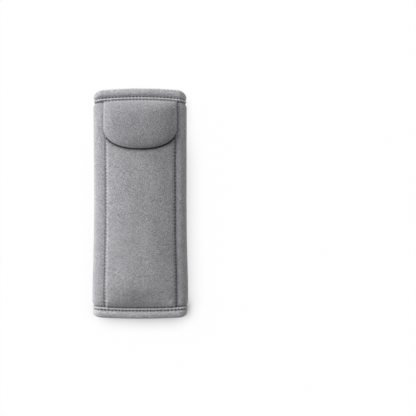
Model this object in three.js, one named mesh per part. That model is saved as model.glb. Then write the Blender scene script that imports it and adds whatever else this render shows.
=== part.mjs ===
// Seat belt shoulder pad: a padded cloth wrap folded round the belt into a flat sleeve, closed
// along its back with hook-and-loop strips, bound at both ends, with a flat pocket and a
// D-shaped flap on its front. Millimetres, lying face up: +X to the right, +Y to the flap end,
// +Z up, origin under the middle of the pad.
import * as THREE from 'three';

// Overall form
const PAD_WIDTH = 93.5;
const PAD_LENGTH = 230.2;
const SLEEVE_HEIGHT = 18.4;
const TOP_ARCH = 2.5;
const BOTTOM_ARCH = 1.5;
const TOP_CORNER_ROUNDING = 3.6;
const BOTTOM_CORNER_ROUNDING = 2.6;
const CORNER_SPREAD = 8;
const TOP_BACK_DROP = 2.5;
const BOTTOM_BACK_DROP = 2;
const LEAF_OVERLAP = 25;

// Cloth and padding
const COVER_THICKNESS = 0.8;
const FOAM_THICKNESS = 3.2;
const HEM_FOAM_THICKNESS = 1;
const LINING_THICKNESS = 0.6;
const FIT_GAP = 0.3;

// Hem bands at both ends
const BAND_THICKNESS = 0.7;
const BAND_HEIGHT = 10.2;
const BAND_BULGE = 1;
const RIDGE_HEIGHT = 0.9;
const RIDGE_WIDTH = 1.5;
const BAND_ROW = 8.1;
const BODY_ROW = 11.3;
const EDGE_INSET = 2.6;
const EDGE_GROWTH_AT_FOLD = 0.8;
const HEM_CROWN = 1.2;
const HEM_SIDE_PINCH = 0.8;
const HEM_EASE = 6;

// Raised front between the two long seams
const SEAM_HALF_SPAN = 35.3;
const SEAM_DEPTH = 1;
const SEAM_SPREAD = 2.2;
const CROWN_HEIGHT = 4.6;
const TOP_CROWN_EASE = 23;
const BOTTOM_CROWN_EASE = 60;

// Closure along the back
const STRIP_THICKNESS = 1.2;
const STRIP_SIDE_MARGIN = 1.5;
const STRIP_END_MARGIN = 2;
const LEAF_RISE_START = 3.5;
const LEAF_RISE_LENGTH = 20;

// Pocket on the front
const PANEL_THICKNESS = 1.4;
const PANEL_EDGE_THICKNESS = 0.6;
const PANEL_EDGE_EASE = 5;
const PANEL_SEAM_CLEARANCE = 0.6;
const POCKET_MOUTH = 24;

// Flap over the pocket mouth
const FLAP_WIDTH = 72.6;
const FLAP_REACH = 60.6;
const FLAP_ROUNDING = 19;
const FLAP_SQUARENESS = 2.6;
const FLAP_PADDING_THICKNESS = 1.4;
const FLAP_EDGE_THICKNESS = 1.7;
const FLAP_EDGE_EASE = 12;
const FLAP_SIDE_DROOP = 0.6;
const FLAP_BELLY_EASE = 13;
const FLAP_RIM_WIDTH = 1.4;
const PATCH_WIDTH = 36;
const PATCH_HEIGHT = 14;
const PATCH_THICKNESS = 0.6;
const PATCH_ABOVE_EDGE = 17;

// Fineness of the meshes
const FOLD_STEPS = 6;
const FLAP_OUTLINE_STEPS = 18;

// Worked-out sizes
const FOLD_RADIUS = SLEEVE_HEIGHT / 2;
const FLAT_HALF = PAD_WIDTH / 2 - FOLD_RADIUS;
const FOLD_LENGTH = Math.PI * FOLD_RADIUS;
const BACK_START = FLAT_HALF + FOLD_LENGTH;
const LEAF_END = BACK_START + FLAT_HALF + LEAF_OVERLAP / 2;
const RISE_START = BACK_START + LEAF_RISE_START;
const RISE_END = RISE_START + LEAF_RISE_LENGTH;
const MARGIN_START = RISE_START + 0.2 * LEAF_RISE_LENGTH;
const MARGIN_END = RISE_END - 0.05 * LEAF_RISE_LENGTH;
const FOAM_END = MARGIN_START + 0.6 * (MARGIN_END - MARGIN_START);
const PLAIN_STACK = COVER_THICKNESS + FIT_GAP + LINING_THICKNESS;
const BODY_LINING_DEPTH = COVER_THICKNESS + FIT_GAP + FOAM_THICKNESS + FIT_GAP;
const HEM_LINING_DEPTH = COVER_THICKNESS + FIT_GAP + HEM_FOAM_THICKNESS + FIT_GAP;
const CLOSURE_LIFT = PLAIN_STACK + 2 * STRIP_THICKNESS + 3 * FIT_GAP;
const HEM_STACK = PLAIN_STACK + 3 * BAND_THICKNESS + 4 * FIT_GAP;
const FLAP_STACK = LINING_THICKNESS + FLAP_PADDING_THICKNESS + COVER_THICKNESS + 2 * FIT_GAP;

// Small helpers

const clamp01 = (t) => THREE.MathUtils.clamp(t, 0, 1);
const mix = THREE.MathUtils.lerp;
const ease = (t, from, to) => THREE.MathUtils.smoothstep(t, from, to);
// A puffed rise from 0 to 1: steep at the seam, flat at the top
const puff = (t) => Math.sin((Math.PI / 2) * clamp01(t)) ** 0.9;

// Turns points and triangles into one closed body whose faces point out
function solid(points, faces) {
  const volume = faces.reduce((sum, [a, b, c]) => {
    return sum + points[a].dot(new THREE.Vector3().crossVectors(points[b], points[c]));
  }, 0);
  const outward = volume > 0 ? faces : faces.map(([a, b, c]) => [c, b, a]);
  const geometry = new THREE.BufferGeometry();
  const coordinates = points.flatMap((point) => point.toArray());
  geometry.setAttribute('position', new THREE.Float32BufferAttribute(coordinates, 3));
  geometry.setIndex(outward.flat());
  geometry.computeVertexNormals();
  return geometry;
}

// A closed body between two sheets of points on the same columns and rows
function slab(columns, rows, nearPoint, farPoint) {
  const points = [];
  for (const pointAt of [nearPoint, farPoint]) {
    for (const column of columns) {
      for (const row of rows) points.push(pointAt(column, row));
    }
  }
  const far = columns.length * rows.length;
  const index = (i, j) => i * rows.length + j;
  const faces = [];
  const quad = (a, b, c, d) => faces.push([a, b, c], [a, c, d]);
  const lastColumn = columns.length - 1;
  const lastRow = rows.length - 1;
  for (let i = 0; i < lastColumn; i++) {
    for (let j = 0; j < lastRow; j++) {
      const [a, b, c, d] = [index(i, j), index(i + 1, j), index(i + 1, j + 1), index(i, j + 1)];
      quad(a, b, c, d);
      quad(a + far, d + far, c + far, b + far);
    }
    quad(index(i + 1, 0), index(i, 0), index(i, 0) + far, index(i + 1, 0) + far);
    quad(index(i, lastRow), index(i + 1, lastRow), index(i + 1, lastRow) + far, index(i, lastRow) + far);
  }
  for (let j = 0; j < lastRow; j++) {
    quad(index(0, j), index(0, j + 1), index(0, j + 1) + far, index(0, j) + far);
    const a = index(lastColumn, j);
    const b = index(lastColumn, j + 1);
    quad(b, a, a + far, b + far);
  }
  return solid(points, faces);
}

// A closed profile carried along the columns, with a cap at each end
function sweep(columns, profileAt, placePoint) {
  const profiles = columns.map(profileAt);
  const count = profiles[0].length;
  const points = columns.flatMap((column, i) => profiles[i].map((corner) => placePoint(column, corner)));
  const faces = [];
  for (let i = 0; i < columns.length - 1; i++) {
    for (let j = 0; j < count; j++) {
      const a = i * count + j;
      const b = i * count + ((j + 1) % count);
      faces.push([a, b, b + count], [a, b + count, a + count]);
    }
  }
  const lastStart = (columns.length - 1) * count;
  const capFaces = (profile) => {
    const cap = THREE.ShapeUtils.triangulateShape(profile, []);
    return THREE.ShapeUtils.area(profile) < 0 ? cap.map(([a, b, c]) => [c, b, a]) : cap;
  };
  const turned = THREE.ShapeUtils.area(profiles[0]) < 0;
  for (const [a, b, c] of capFaces(profiles[0])) faces.push(turned ? [a, b, c] : [c, b, a]);
  for (const face of capFaces(profiles.at(-1))) {
    const [a, b, c] = face.map((corner) => corner + lastStart);
    faces.push(turned ? [c, b, a] : [a, b, c]);
  }
  return solid(points, faces);
}

// A closed plate on rings of points that shrink from its rim to the middle
function plate(rings, middle, topHeight, bottomHeight) {
  const count = rings[0].length;
  const sheet = rings.length * count + 1;
  const spots = [...rings.flat(), middle];
  const points = [topHeight, bottomHeight].flatMap((heightAt) => {
    return spots.map(({ x, y }) => new THREE.Vector3(x, y, heightAt(x, y)));
  });
  const faces = [];
  for (let j = 0; j < count; j++) {
    const next = (j + 1) % count;
    for (let k = 0; k < rings.length - 1; k++) {
      const [a, b] = [k * count + j, k * count + next];
      const [c, d] = [b + count, a + count];
      faces.push([a, b, c], [a, c, d], [sheet + c, sheet + b, sheet + a], [sheet + d, sheet + c, sheet + a]);
    }
    const inner = (rings.length - 1) * count;
    faces.push([inner + j, inner + next, sheet - 1]);
    faces.push([sheet + inner + next, sheet + inner + j, 2 * sheet - 1]);
    faces.push([next, j, sheet + j], [next, sheet + j, sheet + next]);
  }
  return solid(points, faces);
}

// Moves an outline inwards by a distance, with mitred corners
function insetOutline(outline, distance) {
  return outline.map((corner, j) => {
    const before = sideNormal(outline.at(j - 1), corner);
    const after = sideNormal(corner, outline[(j + 1) % outline.length]);
    const inwards = before.clone().add(after).divideScalar(1 + before.dot(after));
    return corner.clone().addScaledVector(inwards, distance);
  });
}

// The inward normal of a side, for an outline that runs anticlockwise
function sideNormal(from, to) {
  return new THREE.Vector2(from.y - to.y, to.x - from.x).normalize();
}

// The wrap: s runs along its outer face, 0 at the middle of the front, + round the right fold

// How far a leaf has risen over the closure; only the right-hand leaf lies on top
const leafLift = (s) => (s > 0 ? CLOSURE_LIFT * ease(s, RISE_START, RISE_END) : 0);

// The point of the wrap at s, y and a depth under its outer face
function wrapPoint(s, y, depth) {
  const side = Math.sign(s) || 1;
  const distance = Math.abs(s);
  if (distance <= FLAT_HALF) return new THREE.Vector3(s, y, SLEEVE_HEIGHT - depth);
  if (distance <= BACK_START) {
    const angle = (distance - FLAT_HALF) / FOLD_RADIUS;
    const reach = FOLD_RADIUS - depth;
    const x = side * (FLAT_HALF + reach * Math.sin(angle));
    return new THREE.Vector3(x, y, FOLD_RADIUS + reach * Math.cos(angle));
  }
  const probe = 0.05;
  const slope = (leafLift(s + probe) - leafLift(s - probe)) / (2 * probe);
  const tilt = Math.hypot(1, slope);
  const x = side * (FLAT_HALF + BACK_START - distance) + (side * depth * slope) / tilt;
  return new THREE.Vector3(x, y, leafLift(s) + depth / tilt);
}

// The hem lines, that all rows are measured from: an arch across the front and a shorter back
function hemLine(s, arch, backDrop) {
  const distance = Math.abs(s);
  const across = Math.min(distance / (PAD_WIDTH / 2), 1);
  const drop = backDrop * ease(distance, FLAT_HALF + FOLD_RADIUS, BACK_START);
  return PAD_LENGTH / 2 - arch * across ** 2 - drop;
}
const topEnd = (s) => hemLine(s, TOP_ARCH, TOP_BACK_DROP);
const bottomEnd = (s) => -hemLine(s, BOTTOM_ARCH, BOTTOM_BACK_DROP);

// The cloth's edge is rounded off at each fold, where a hem band is narrow
function cornerRounding(s, rounding) {
  return rounding * Math.exp(-(((Math.abs(s) - FLAT_HALF - FOLD_LENGTH / 2) / CORNER_SPREAD) ** 2));
}
const rowInset = (distance, round) => distance + round * clamp01(1 - distance / BAND_HEIGHT);
const topRowY = (s, distance) => {
  return topEnd(s) - rowInset(distance, cornerRounding(s, TOP_CORNER_ROUNDING));
};
const bottomRowY = (s, distance) => {
  return bottomEnd(s) + rowInset(distance, cornerRounding(s, BOTTOM_CORNER_ROUNDING));
};

// Distance along the cloth from its nearer edge: the way back from a row's inset
const rowDistance = (inset, round) => Math.min(inset, (inset - round) / (1 - round / BAND_HEIGHT));
function endDistance(s, y) {
  const fromTop = rowDistance(topEnd(s) - y, cornerRounding(s, TOP_CORNER_ROUNDING));
  const fromBottom = rowDistance(y - bottomEnd(s), cornerRounding(s, BOTTOM_CORNER_ROUNDING));
  return Math.min(fromTop, fromBottom);
}

// Depth of the cover's outer face away from the hems: the long seams dip, the front is raised
function bodyCoverDepth(s, y) {
  const share = clamp01(1 - (s / SEAM_HALF_SPAN) ** 2);
  const fromTop = puff((topEnd(s) - y - BODY_ROW) / TOP_CROWN_EASE);
  const fromBottom = puff((y - bottomEnd(s) - BODY_ROW) / BOTTOM_CROWN_EASE);
  const crown = CROWN_HEIGHT * share ** 0.8 * Math.min(fromTop, fromBottom);
  const seam = SEAM_DEPTH * Math.exp(-(((Math.abs(s) - SEAM_HALF_SPAN) / SEAM_SPREAD) ** 2));
  return seam - crown;
}

// How far a spot is into a fold: 0 on the flat front and back, 1 at the pad's side
const foldShare = (s) => Math.sin(Math.PI * clamp01((Math.abs(s) - FLAT_HALF) / FOLD_LENGTH));

// Depth of the cover's outer face inside a hem band
function hemCoverDepth(s) {
  const closure = ease(Math.abs(s), RISE_START, RISE_END);
  const share = clamp01(1 - (s / FLAT_HALF) ** 2);
  const pinch = HEM_SIDE_PINCH * foldShare(s);
  const front = BAND_THICKNESS + FIT_GAP + BAND_BULGE - HEM_CROWN * share + pinch;
  const leaf = s > 0 ? HEM_STACK - CLOSURE_LIFT : BAND_THICKNESS + FIT_GAP;
  return mix(front, leaf, closure);
}

const hemShare = (distance) => 1 - puff((distance - BODY_ROW) / HEM_EASE);
const marginShare = (s) => ease(Math.abs(s), MARGIN_START, MARGIN_END);

function coverDepth(s, y) {
  return mix(bodyCoverDepth(s, y), hemCoverDepth(s), hemShare(endDistance(s, y)));
}

function hemLiningDepth(s) {
  const padded = hemCoverDepth(s) + HEM_LINING_DEPTH;
  const crown = HEM_CROWN * clamp01(1 - (s / FLAT_HALF) ** 2);
  return mix(padded + crown, hemCoverDepth(s) + COVER_THICKNESS + FIT_GAP, marginShare(s));
}

function liningDepth(s, y) {
  const hem = hemShare(endDistance(s, y));
  const body = mix(BODY_LINING_DEPTH, COVER_THICKNESS + FIT_GAP, marginShare(s));
  return mix(body, hemLiningDepth(s), hem);
}

// Columns along the wrap and rows from end to end, closest where the form turns most
const mirrored = (distances) => [...distances.toReversed().map((s) => -s), ...distances.slice(1)];

const frontColumns = [0, 0.34, 0.62, 0.85, 0.955, 1].map((share) => share * SEAM_HALF_SPAN);
const foldColumns = Array.from({ length: FOLD_STEPS + 1 }, (_, k) => {
  return FLAT_HALF + (k / FOLD_STEPS) * FOLD_LENGTH;
});
const backColumns = [
  RISE_START, MARGIN_START, mix(MARGIN_START, FOAM_END, 0.5), FOAM_END,
  mix(FOAM_END, RISE_END, 0.5), RISE_END, LEAF_END,
];
const wrapColumns = mirrored([...frontColumns, ...foldColumns, ...backColumns]);
const foamColumns = wrapColumns.filter((s) => Math.abs(s) <= FOAM_END);
const liningColumns = wrapColumns.filter((s) => s === 0 || Math.abs(s) >= FLAT_HALF);

const hemRows = [EDGE_INSET, BODY_ROW, ...[0.25, 0.55, 1].map((share) => BODY_ROW + share * HEM_EASE)];
const crownRows = (ease) => [0.35, 1].map((share) => mix(BODY_ROW + HEM_EASE, BODY_ROW + ease, share));
const wrapRows = [
  ...[...hemRows, ...crownRows(BOTTOM_CROWN_EASE)].map((distance) => ({ from: 'bottom', distance })),
  { from: 'middle' },
  ...[...hemRows, ...crownRows(TOP_CROWN_EASE)].toReversed().map((distance) => ({ from: 'top', distance })),
];

function rowY(s, row) {
  if (row.from === 'bottom') return bottomRowY(s, row.distance);
  if (row.from === 'top') return topRowY(s, row.distance);
  return (topEnd(s) + bottomEnd(s)) / 2;
}

// A layer of the wrap between two depths
function wrapLayer(columns, outerDepth, innerDepth) {
  const pointAt = (depthAt) => (s, row) => wrapPoint(s, rowY(s, row), depthAt(s, rowY(s, row)));
  return slab(columns, wrapRows, pointAt(outerDepth), pointAt(innerDepth));
}

function outerCover() {
  return wrapLayer(wrapColumns, coverDepth, (s, y) => coverDepth(s, y) + COVER_THICKNESS);
}

function paddingFoam() {
  const outer = (s, y) => coverDepth(s, y) + COVER_THICKNESS + FIT_GAP;
  return wrapLayer(foamColumns, outer, (s, y) => liningDepth(s, y) - FIT_GAP);
}

function beltLining() {
  return wrapLayer(liningColumns, liningDepth, (s, y) => liningDepth(s, y) + LINING_THICKNESS);
}

// A hem band: a folded strip round the end of the wrap, rolled full at its edge, pressed in at
// the stitch row and turned under in a narrow ridge beside the body
function bandProfile(s) {
  const outer = hemCoverDepth(s) - FIT_GAP;
  const inner = hemLiningDepth(s) + LINING_THICKNESS + FIT_GAP;
  const middle = (outer + inner) / 2;
  const full = 1 - ease(Math.abs(s), RISE_START, RISE_END);
  const face = outer - BAND_THICKNESS;
  const bulge = BAND_BULGE * full;
  const ridge = RIDGE_HEIGHT * full;
  const ridgeCrest = BAND_HEIGHT - RIDGE_WIDTH / 2;
  const roll = EDGE_INSET * (1 + EDGE_GROWTH_AT_FOLD * foldShare(s));
  return [
    [BAND_HEIGHT, outer], [EDGE_INSET, outer], [0.5 * EDGE_INSET, mix(outer, middle, 0.5)],
    [0.5 * EDGE_INSET, mix(inner, middle, 0.5)], [EDGE_INSET, inner], [BAND_ROW + 1, inner],
    [BAND_ROW + 1, inner + BAND_THICKNESS], [EDGE_INSET, inner + BAND_THICKNESS],
    [0.3 * EDGE_INSET, mix(middle, inner + BAND_THICKNESS, 0.72)], [0, middle],
    [0.22 * roll, mix(middle, face - bulge, 0.62)], [0.8 * roll, mix(middle, face - bulge, 0.93)],
    [0.52 * BAND_ROW, face - bulge], [0.8 * BAND_ROW, face - 0.6 * bulge], [BAND_ROW, face],
    [ridgeCrest - 0.3 * RIDGE_WIDTH, face - 0.8 * ridge],
    [ridgeCrest + 0.2 * RIDGE_WIDTH, face - ridge], [BAND_HEIGHT, face - 0.2 * ridge],
  ].map(([distance, depth]) => new THREE.Vector2(distance, depth));
}

function hemBand(rowYAt) {
  return sweep(wrapColumns, bandProfile, (s, corner) => wrapPoint(s, rowYAt(s, corner.x), corner.y));
}

const topHemBand = () => hemBand(topRowY);
const bottomHemBand = () => hemBand(bottomRowY);

// The closure: one strip on each leaf, one over the other
function closureStrip(bottom) {
  const halfWidth = LEAF_OVERLAP / 2 - STRIP_SIDE_MARGIN;
  const upper = topEnd(LEAF_END) - BODY_ROW - HEM_EASE - STRIP_END_MARGIN;
  const lower = bottomEnd(LEAF_END) + BODY_ROW + HEM_EASE + STRIP_END_MARGIN;
  const strip = new THREE.BoxGeometry(2 * halfWidth, upper - lower, STRIP_THICKNESS);
  strip.translate(0, (upper + lower) / 2, bottom + STRIP_THICKNESS / 2);
  return strip;
}

const hookStrip = () => closureStrip(PLAIN_STACK + FIT_GAP);
const loopStrip = () => closureStrip(PLAIN_STACK + 2 * FIT_GAP + STRIP_THICKNESS);

// The pocket panel: caught in both long seams and at the bottom hem, open under the flap
const PANEL_HALF_WIDTH = SEAM_HALF_SPAN - PANEL_SEAM_CLEARANCE;
const PANEL_END = BAND_HEIGHT + FIT_GAP;

function panelThickness(x, y) {
  const fromSeam = PANEL_HALF_WIDTH - Math.abs(x);
  const fromHem = y - bottomEnd(x) - PANEL_END;
  const share = puff(Math.min(fromSeam, fromHem) / PANEL_EDGE_EASE);
  return mix(PANEL_EDGE_THICKNESS, PANEL_THICKNESS, share);
}

const coverHeight = (x, y) => SLEEVE_HEIGHT - coverDepth(x, y);
const panelBottom = (x, y) => coverHeight(x, y) + FIT_GAP;
const panelTop = (x, y) => panelBottom(x, y) + panelThickness(x, y);

function pocketPanel() {
  const columns = mirrored([0, 0.34, 0.62, 0.85, 0.955, 1].map((share) => share * PANEL_HALF_WIDTH));
  const rows = [
    { from: 'bottom', distance: PANEL_END },
    ...wrapRows.slice(1, -2).filter((row) => row.from !== 'top' || row.distance > POCKET_MOUTH),
    { from: 'top', distance: POCKET_MOUTH },
  ];
  const sheet = (heightAt) => (x, row) => {
    const y = rowY(x, row);
    return new THREE.Vector3(x, y, heightAt(x, y));
  };
  return slab(columns, rows, sheet(panelTop), sheet(panelBottom));
}

// The flap: a rounded D sewn in at the top hem, puffed, with its face turned round the edge
const FLAP_HALF_WIDTH = FLAP_WIDTH / 2;
const FLAP_ROOT = BAND_HEIGHT + FIT_GAP;
const FLAP_TIP = PAD_LENGTH / 2 - FLAP_REACH;
const PATCH_Y = FLAP_TIP + PATCH_ABOVE_EDGE;

// The flap's outline, round the D from its left side and back along the root
function flapOutline() {
  const outline = [];
  for (let k = 0; k <= FLAP_OUTLINE_STEPS; k++) {
    const angle = Math.PI * (1 - k / FLAP_OUTLINE_STEPS);
    const bend = (value) => Math.sign(value) * Math.abs(value) ** (2 / FLAP_SQUARENESS);
    const x = FLAP_HALF_WIDTH * bend(Math.cos(angle));
    outline.push(new THREE.Vector2(x, FLAP_TIP + FLAP_ROUNDING * (1 - bend(Math.sin(angle)))));
  }
  const sideTop = topEnd(FLAP_HALF_WIDTH) - FLAP_ROOT;
  const sideMiddle = mix(FLAP_TIP + FLAP_ROUNDING, sideTop, 0.55);
  outline.push(new THREE.Vector2(FLAP_HALF_WIDTH, sideMiddle));
  for (const share of [1, 0.8, 0.4, 0, -0.4, -0.8, -1]) {
    const x = share * FLAP_HALF_WIDTH;
    outline.push(new THREE.Vector2(x, topEnd(x) - FLAP_ROOT));
  }
  outline.push(new THREE.Vector2(-FLAP_HALF_WIDTH, sideMiddle));
  return outline;
}

// Shortest way from a point to the flap's rim
const flapRim = flapOutline();
function rimDistance(x, y) {
  const point = new THREE.Vector3(x, y, 0);
  const nearest = new THREE.Vector3();
  return flapRim.reduce((least, corner, j) => {
    const next = flapRim[(j + 1) % flapRim.length];
    const side = new THREE.Line3(
      new THREE.Vector3(corner.x, corner.y, 0), new THREE.Vector3(next.x, next.y, 0));
    side.closestPointToPoint(point, true, nearest);
    return Math.min(least, nearest.distanceTo(point));
  }, Infinity);
}

// The flap lies on the panel at its rim and arches over the closing patches inside it
function flapBottom(x, y) {
  const inside = THREE.MathUtils.clamp(x, -PANEL_HALF_WIDTH + 1, PANEL_HALF_WIDTH - 1);
  const overPanel = ease(topEnd(x) - y, FLAP_ROOT, POCKET_MOUTH - 1);
  const resting = mix(coverHeight(inside, y), panelTop(inside, y), overPanel);
  const droop = FLAP_SIDE_DROOP * ease(Math.abs(x), PANEL_HALF_WIDTH, FLAP_HALF_WIDTH);
  const lift = 2 * (PATCH_THICKNESS + FIT_GAP) * puff(rimDistance(x, y) / FLAP_BELLY_EASE);
  return Math.max(resting + lift - droop, coverHeight(x, y) + FIT_GAP) + FIT_GAP;
}

function flapTop(x, y) {
  const full = puff(rimDistance(x, y) / FLAP_EDGE_EASE);
  return flapBottom(x, y) + mix(FLAP_EDGE_THICKNESS, FLAP_STACK, full);
}

const flapLiningTop = (x, y) => flapBottom(x, y) + LINING_THICKNESS;
const flapFaceBottom = (x, y) => {
  const turned = rimDistance(x, y) < FLAP_RIM_WIDTH + 0.5 * FIT_GAP;
  return turned ? flapBottom(x, y) : flapTop(x, y) - COVER_THICKNESS;
};

// What the turned rim encloses, in rings that shrink to the middle
const flapMiddle = new THREE.Vector2(0, FLAP_TIP + 0.55 * (topEnd(0) - FLAP_ROOT - FLAP_TIP));
const flapInside = insetOutline(flapRim, FLAP_RIM_WIDTH + 3 * FIT_GAP);
const insideRings = [0, 0.16, 0.34, 0.6].map((share) => {
  return flapInside.map((corner) => corner.clone().lerp(flapMiddle, share));
});

function flapFace() {
  const turnedEdge = [0, FIT_GAP, FLAP_RIM_WIDTH, FLAP_RIM_WIDTH + FIT_GAP];
  const rimRings = turnedEdge.map((distance) => insetOutline(flapRim, distance));
  return plate([...rimRings, ...insideRings], flapMiddle, flapTop, flapFaceBottom);
}

function flapPadding() {
  const top = (x, y) => flapFaceBottom(x, y) - FIT_GAP;
  return plate(insideRings, flapMiddle, top, (x, y) => flapLiningTop(x, y) + FIT_GAP);
}

function flapLining() {
  return plate(insideRings, flapMiddle, flapLiningTop, flapBottom);
}

// The two patches that hold the flap down, one over the other
function patch(bottomHeight) {
  const share = [-1, -0.5, 0, 0.5, 1];
  const point = (heightAt) => (u, v) => {
    const x = (u * PATCH_WIDTH) / 2;
    const y = PATCH_Y + (v * PATCH_HEIGHT) / 2;
    return new THREE.Vector3(x, y, heightAt(x, y));
  };
  const top = (x, y) => bottomHeight(x, y) + PATCH_THICKNESS;
  return slab(share, share, point(top), point(bottomHeight));
}

const pocketLoopPatch = () => patch((x, y) => panelTop(x, y) + FIT_GAP);
const flapHookPatch = () => patch((x, y) => flapBottom(x, y) - FIT_GAP - PATCH_THICKNESS);

// Materials and the finished object

const cloth = (color, roughness) => new THREE.MeshStandardMaterial({ color, roughness, metalness: 0 });
const plush = cloth(0x8f8e93, 0.95);
const bandPlush = cloth(0x8b8a8f, 0.95);
const foam = cloth(0xd9d6c8, 0.9);
const lining = cloth(0x5b5b60, 0.85);
const fastener = cloth(0x3c3c40, 0.9);

const pieces = [
  ['outer_cover', outerCover, plush],
  ['padding_foam', paddingFoam, foam],
  ['belt_lining', beltLining, lining],
  ['top_hem_band', topHemBand, bandPlush],
  ['bottom_hem_band', bottomHemBand, bandPlush],
  ['hook_strip', hookStrip, fastener],
  ['loop_strip', loopStrip, fastener],
  ['pocket_panel', pocketPanel, plush],
  ['pocket_loop_patch', pocketLoopPatch, fastener],
  ['flap_hook_patch', flapHookPatch, fastener],
  ['flap_lining', flapLining, lining],
  ['flap_padding', flapPadding, foam],
  ['flap_face', flapFace, plush],
];

const group = new THREE.Group();
for (const [name, make, material] of pieces) {
  const mesh = new THREE.Mesh(make(), material);
  mesh.name = name;
  group.add(mesh);
}

export default group;
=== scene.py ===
"""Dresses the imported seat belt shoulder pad: plush cover, hem bands, pocket, flap and stitching.

Lengths are millimetres, and M turns them into metres where Blender takes them. Only the stage,
the light and the camera are given in metres.
"""
import math

import bmesh
import bpy
import numpy as np
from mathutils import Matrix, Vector, noise


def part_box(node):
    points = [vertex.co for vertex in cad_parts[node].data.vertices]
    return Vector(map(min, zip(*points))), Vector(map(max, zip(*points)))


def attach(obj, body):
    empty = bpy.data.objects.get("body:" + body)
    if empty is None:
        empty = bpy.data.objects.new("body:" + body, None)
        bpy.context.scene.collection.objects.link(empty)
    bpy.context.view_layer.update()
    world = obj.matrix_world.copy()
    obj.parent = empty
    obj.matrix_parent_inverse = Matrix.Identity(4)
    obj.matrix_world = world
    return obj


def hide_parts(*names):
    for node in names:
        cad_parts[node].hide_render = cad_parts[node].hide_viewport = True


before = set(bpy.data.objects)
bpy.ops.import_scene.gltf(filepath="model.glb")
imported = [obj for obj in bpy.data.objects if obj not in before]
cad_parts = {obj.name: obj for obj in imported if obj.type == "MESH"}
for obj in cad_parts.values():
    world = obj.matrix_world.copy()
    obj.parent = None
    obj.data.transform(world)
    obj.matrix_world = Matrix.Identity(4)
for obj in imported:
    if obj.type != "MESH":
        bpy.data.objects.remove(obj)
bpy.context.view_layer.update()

M = 0.001  # metres in a millimetre


def node_box(node):
    """A node's lowest and highest corner, in millimetres."""
    low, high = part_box(node)
    return np.array(low) / M, np.array(high) / M


# Overall form: width and length read from the imported parts, the rest given
PAD_WIDTH = float(np.ptp(np.stack(node_box("outer_cover")), axis=0)[0])
PAD_LENGTH = 2 * float(node_box("top_hem_band")[1][1])
SLEEVE_HEIGHT = 18.4
TOP_ARCH, BOTTOM_ARCH = 2.5, 1.5
TOP_CORNER_ROUNDING, BOTTOM_CORNER_ROUNDING = 2.4, 0.9
CORNER_SPREAD = 7.0
TOP_BAND_EXTRA = 0.9
TOP_BACK_DROP, BOTTOM_BACK_DROP = 2.5, 2.0
LEAF_OVERLAP = 25.0

# How the pad lies: its sides wander and its lower right corner spreads
WAIST_LEFT, WAIST_RIGHT = 0.9, 0.15
WAIST_PLACE, WAIST_REACH = -5.0, 75.0
SPREAD_LEFT, SPREAD_RIGHT = 1.1, 1.3
SPREAD_FROM_END, SPREAD_LENGTH = 22.0, 48.0
SHIFT_LEFT, SHIFT_RIGHT, INNER_SHIFT = -0.5, 0.2, 0.8
SEAM_SWAY, SEAM_SWAY_REACH = 0.5, 11.0

# Cloth and padding
COVER_THICKNESS = 0.8
FOAM_THICKNESS = 3.2
HEM_FOAM_THICKNESS = 1.0
LINING_THICKNESS = 0.6
FIT_GAP = 0.3

# Hem bands
BAND_THICKNESS = 0.7
BAND_HEIGHT = 10.2
BAND_BULGE = 1.9
BAND_ROOM = 1.0
RIDGE_HEIGHT = 0.9
RIDGE_WIDTH = 1.5
BAND_ROW = 8.1
BODY_ROW = 11.3
EDGE_INSET = 2.6
TOP_FOLD_GROWTH, BOTTOM_FOLD_GROWTH = 0.7, 0.2
HEM_CROWN = 1.2
HEM_SIDE_PINCH = 0.1
FOLD_FULLNESS = 0.6
HEM_RISE_START = 10.6
HEM_EASE = 6.5

# Raised front between the two long seams
SEAM_HALF_SPAN = 34.6
SEAM_DEPTH = 0.2
SEAM_SPREAD = 1.3
CROWN_HEIGHT = 5.8
CROWN_FLATNESS = 2.5
LEFT_SHOULDER, RIGHT_SHOULDER = 1.5, 0.2
SHOULDER_WIDTH = 10.0
TOP_CROWN_EASE, BOTTOM_CROWN_EASE = 23.0, 24.0

# Closure along the back
STRIP_THICKNESS = 1.2
LEAF_RISE_START = 3.5
LEAF_RISE_LENGTH = 20.0

# Pocket and flap on the front
PANEL_THICKNESS = 1.4
PANEL_EDGE_THICKNESS = 0.45
PANEL_EDGE_EASE = 2.6
PANEL_SEAM_CLEARANCE = 0.6
POCKET_MOUTH = 24.0
FLAP_REACH = 60.6
FLAP_ROUNDING = 21.5
FLAP_SQUARENESS = 2.25
FLAP_PADDING_THICKNESS = 1.4
FLAP_EDGE_THICKNESS = 1.5
FLAP_DENT = 2.2
FLAP_EDGE_EASE = 3.0
FLAP_SIDE_EASE, FLAP_TIP_EASE = 15.0, 14.0
FLAP_ROLL_SHARE = 0.55
FLAP_ROOT_EASE = 4.0
FLAP_SIDE_DROOP = 0.6
FLAP_BELLY_EASE = 14.0
PATCH_THICKNESS = 0.6
TURNED_EDGE = 3.2
FLAP_CLOTH_THICKNESS = 0.55

# Puckers of the pocket panel, from a sheet that is blown up by cloth simulation
SHEET_HALF_LENGTH = 102.0
SHEET_PRESSURE = 4.0
SHEET_SCALE = 10.0
SHEET_FRAMES = 30
MEAN_REACH = 6
RELIEF_LIMIT, RELIEF_SHARE = 0.8, 0.6

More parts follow.
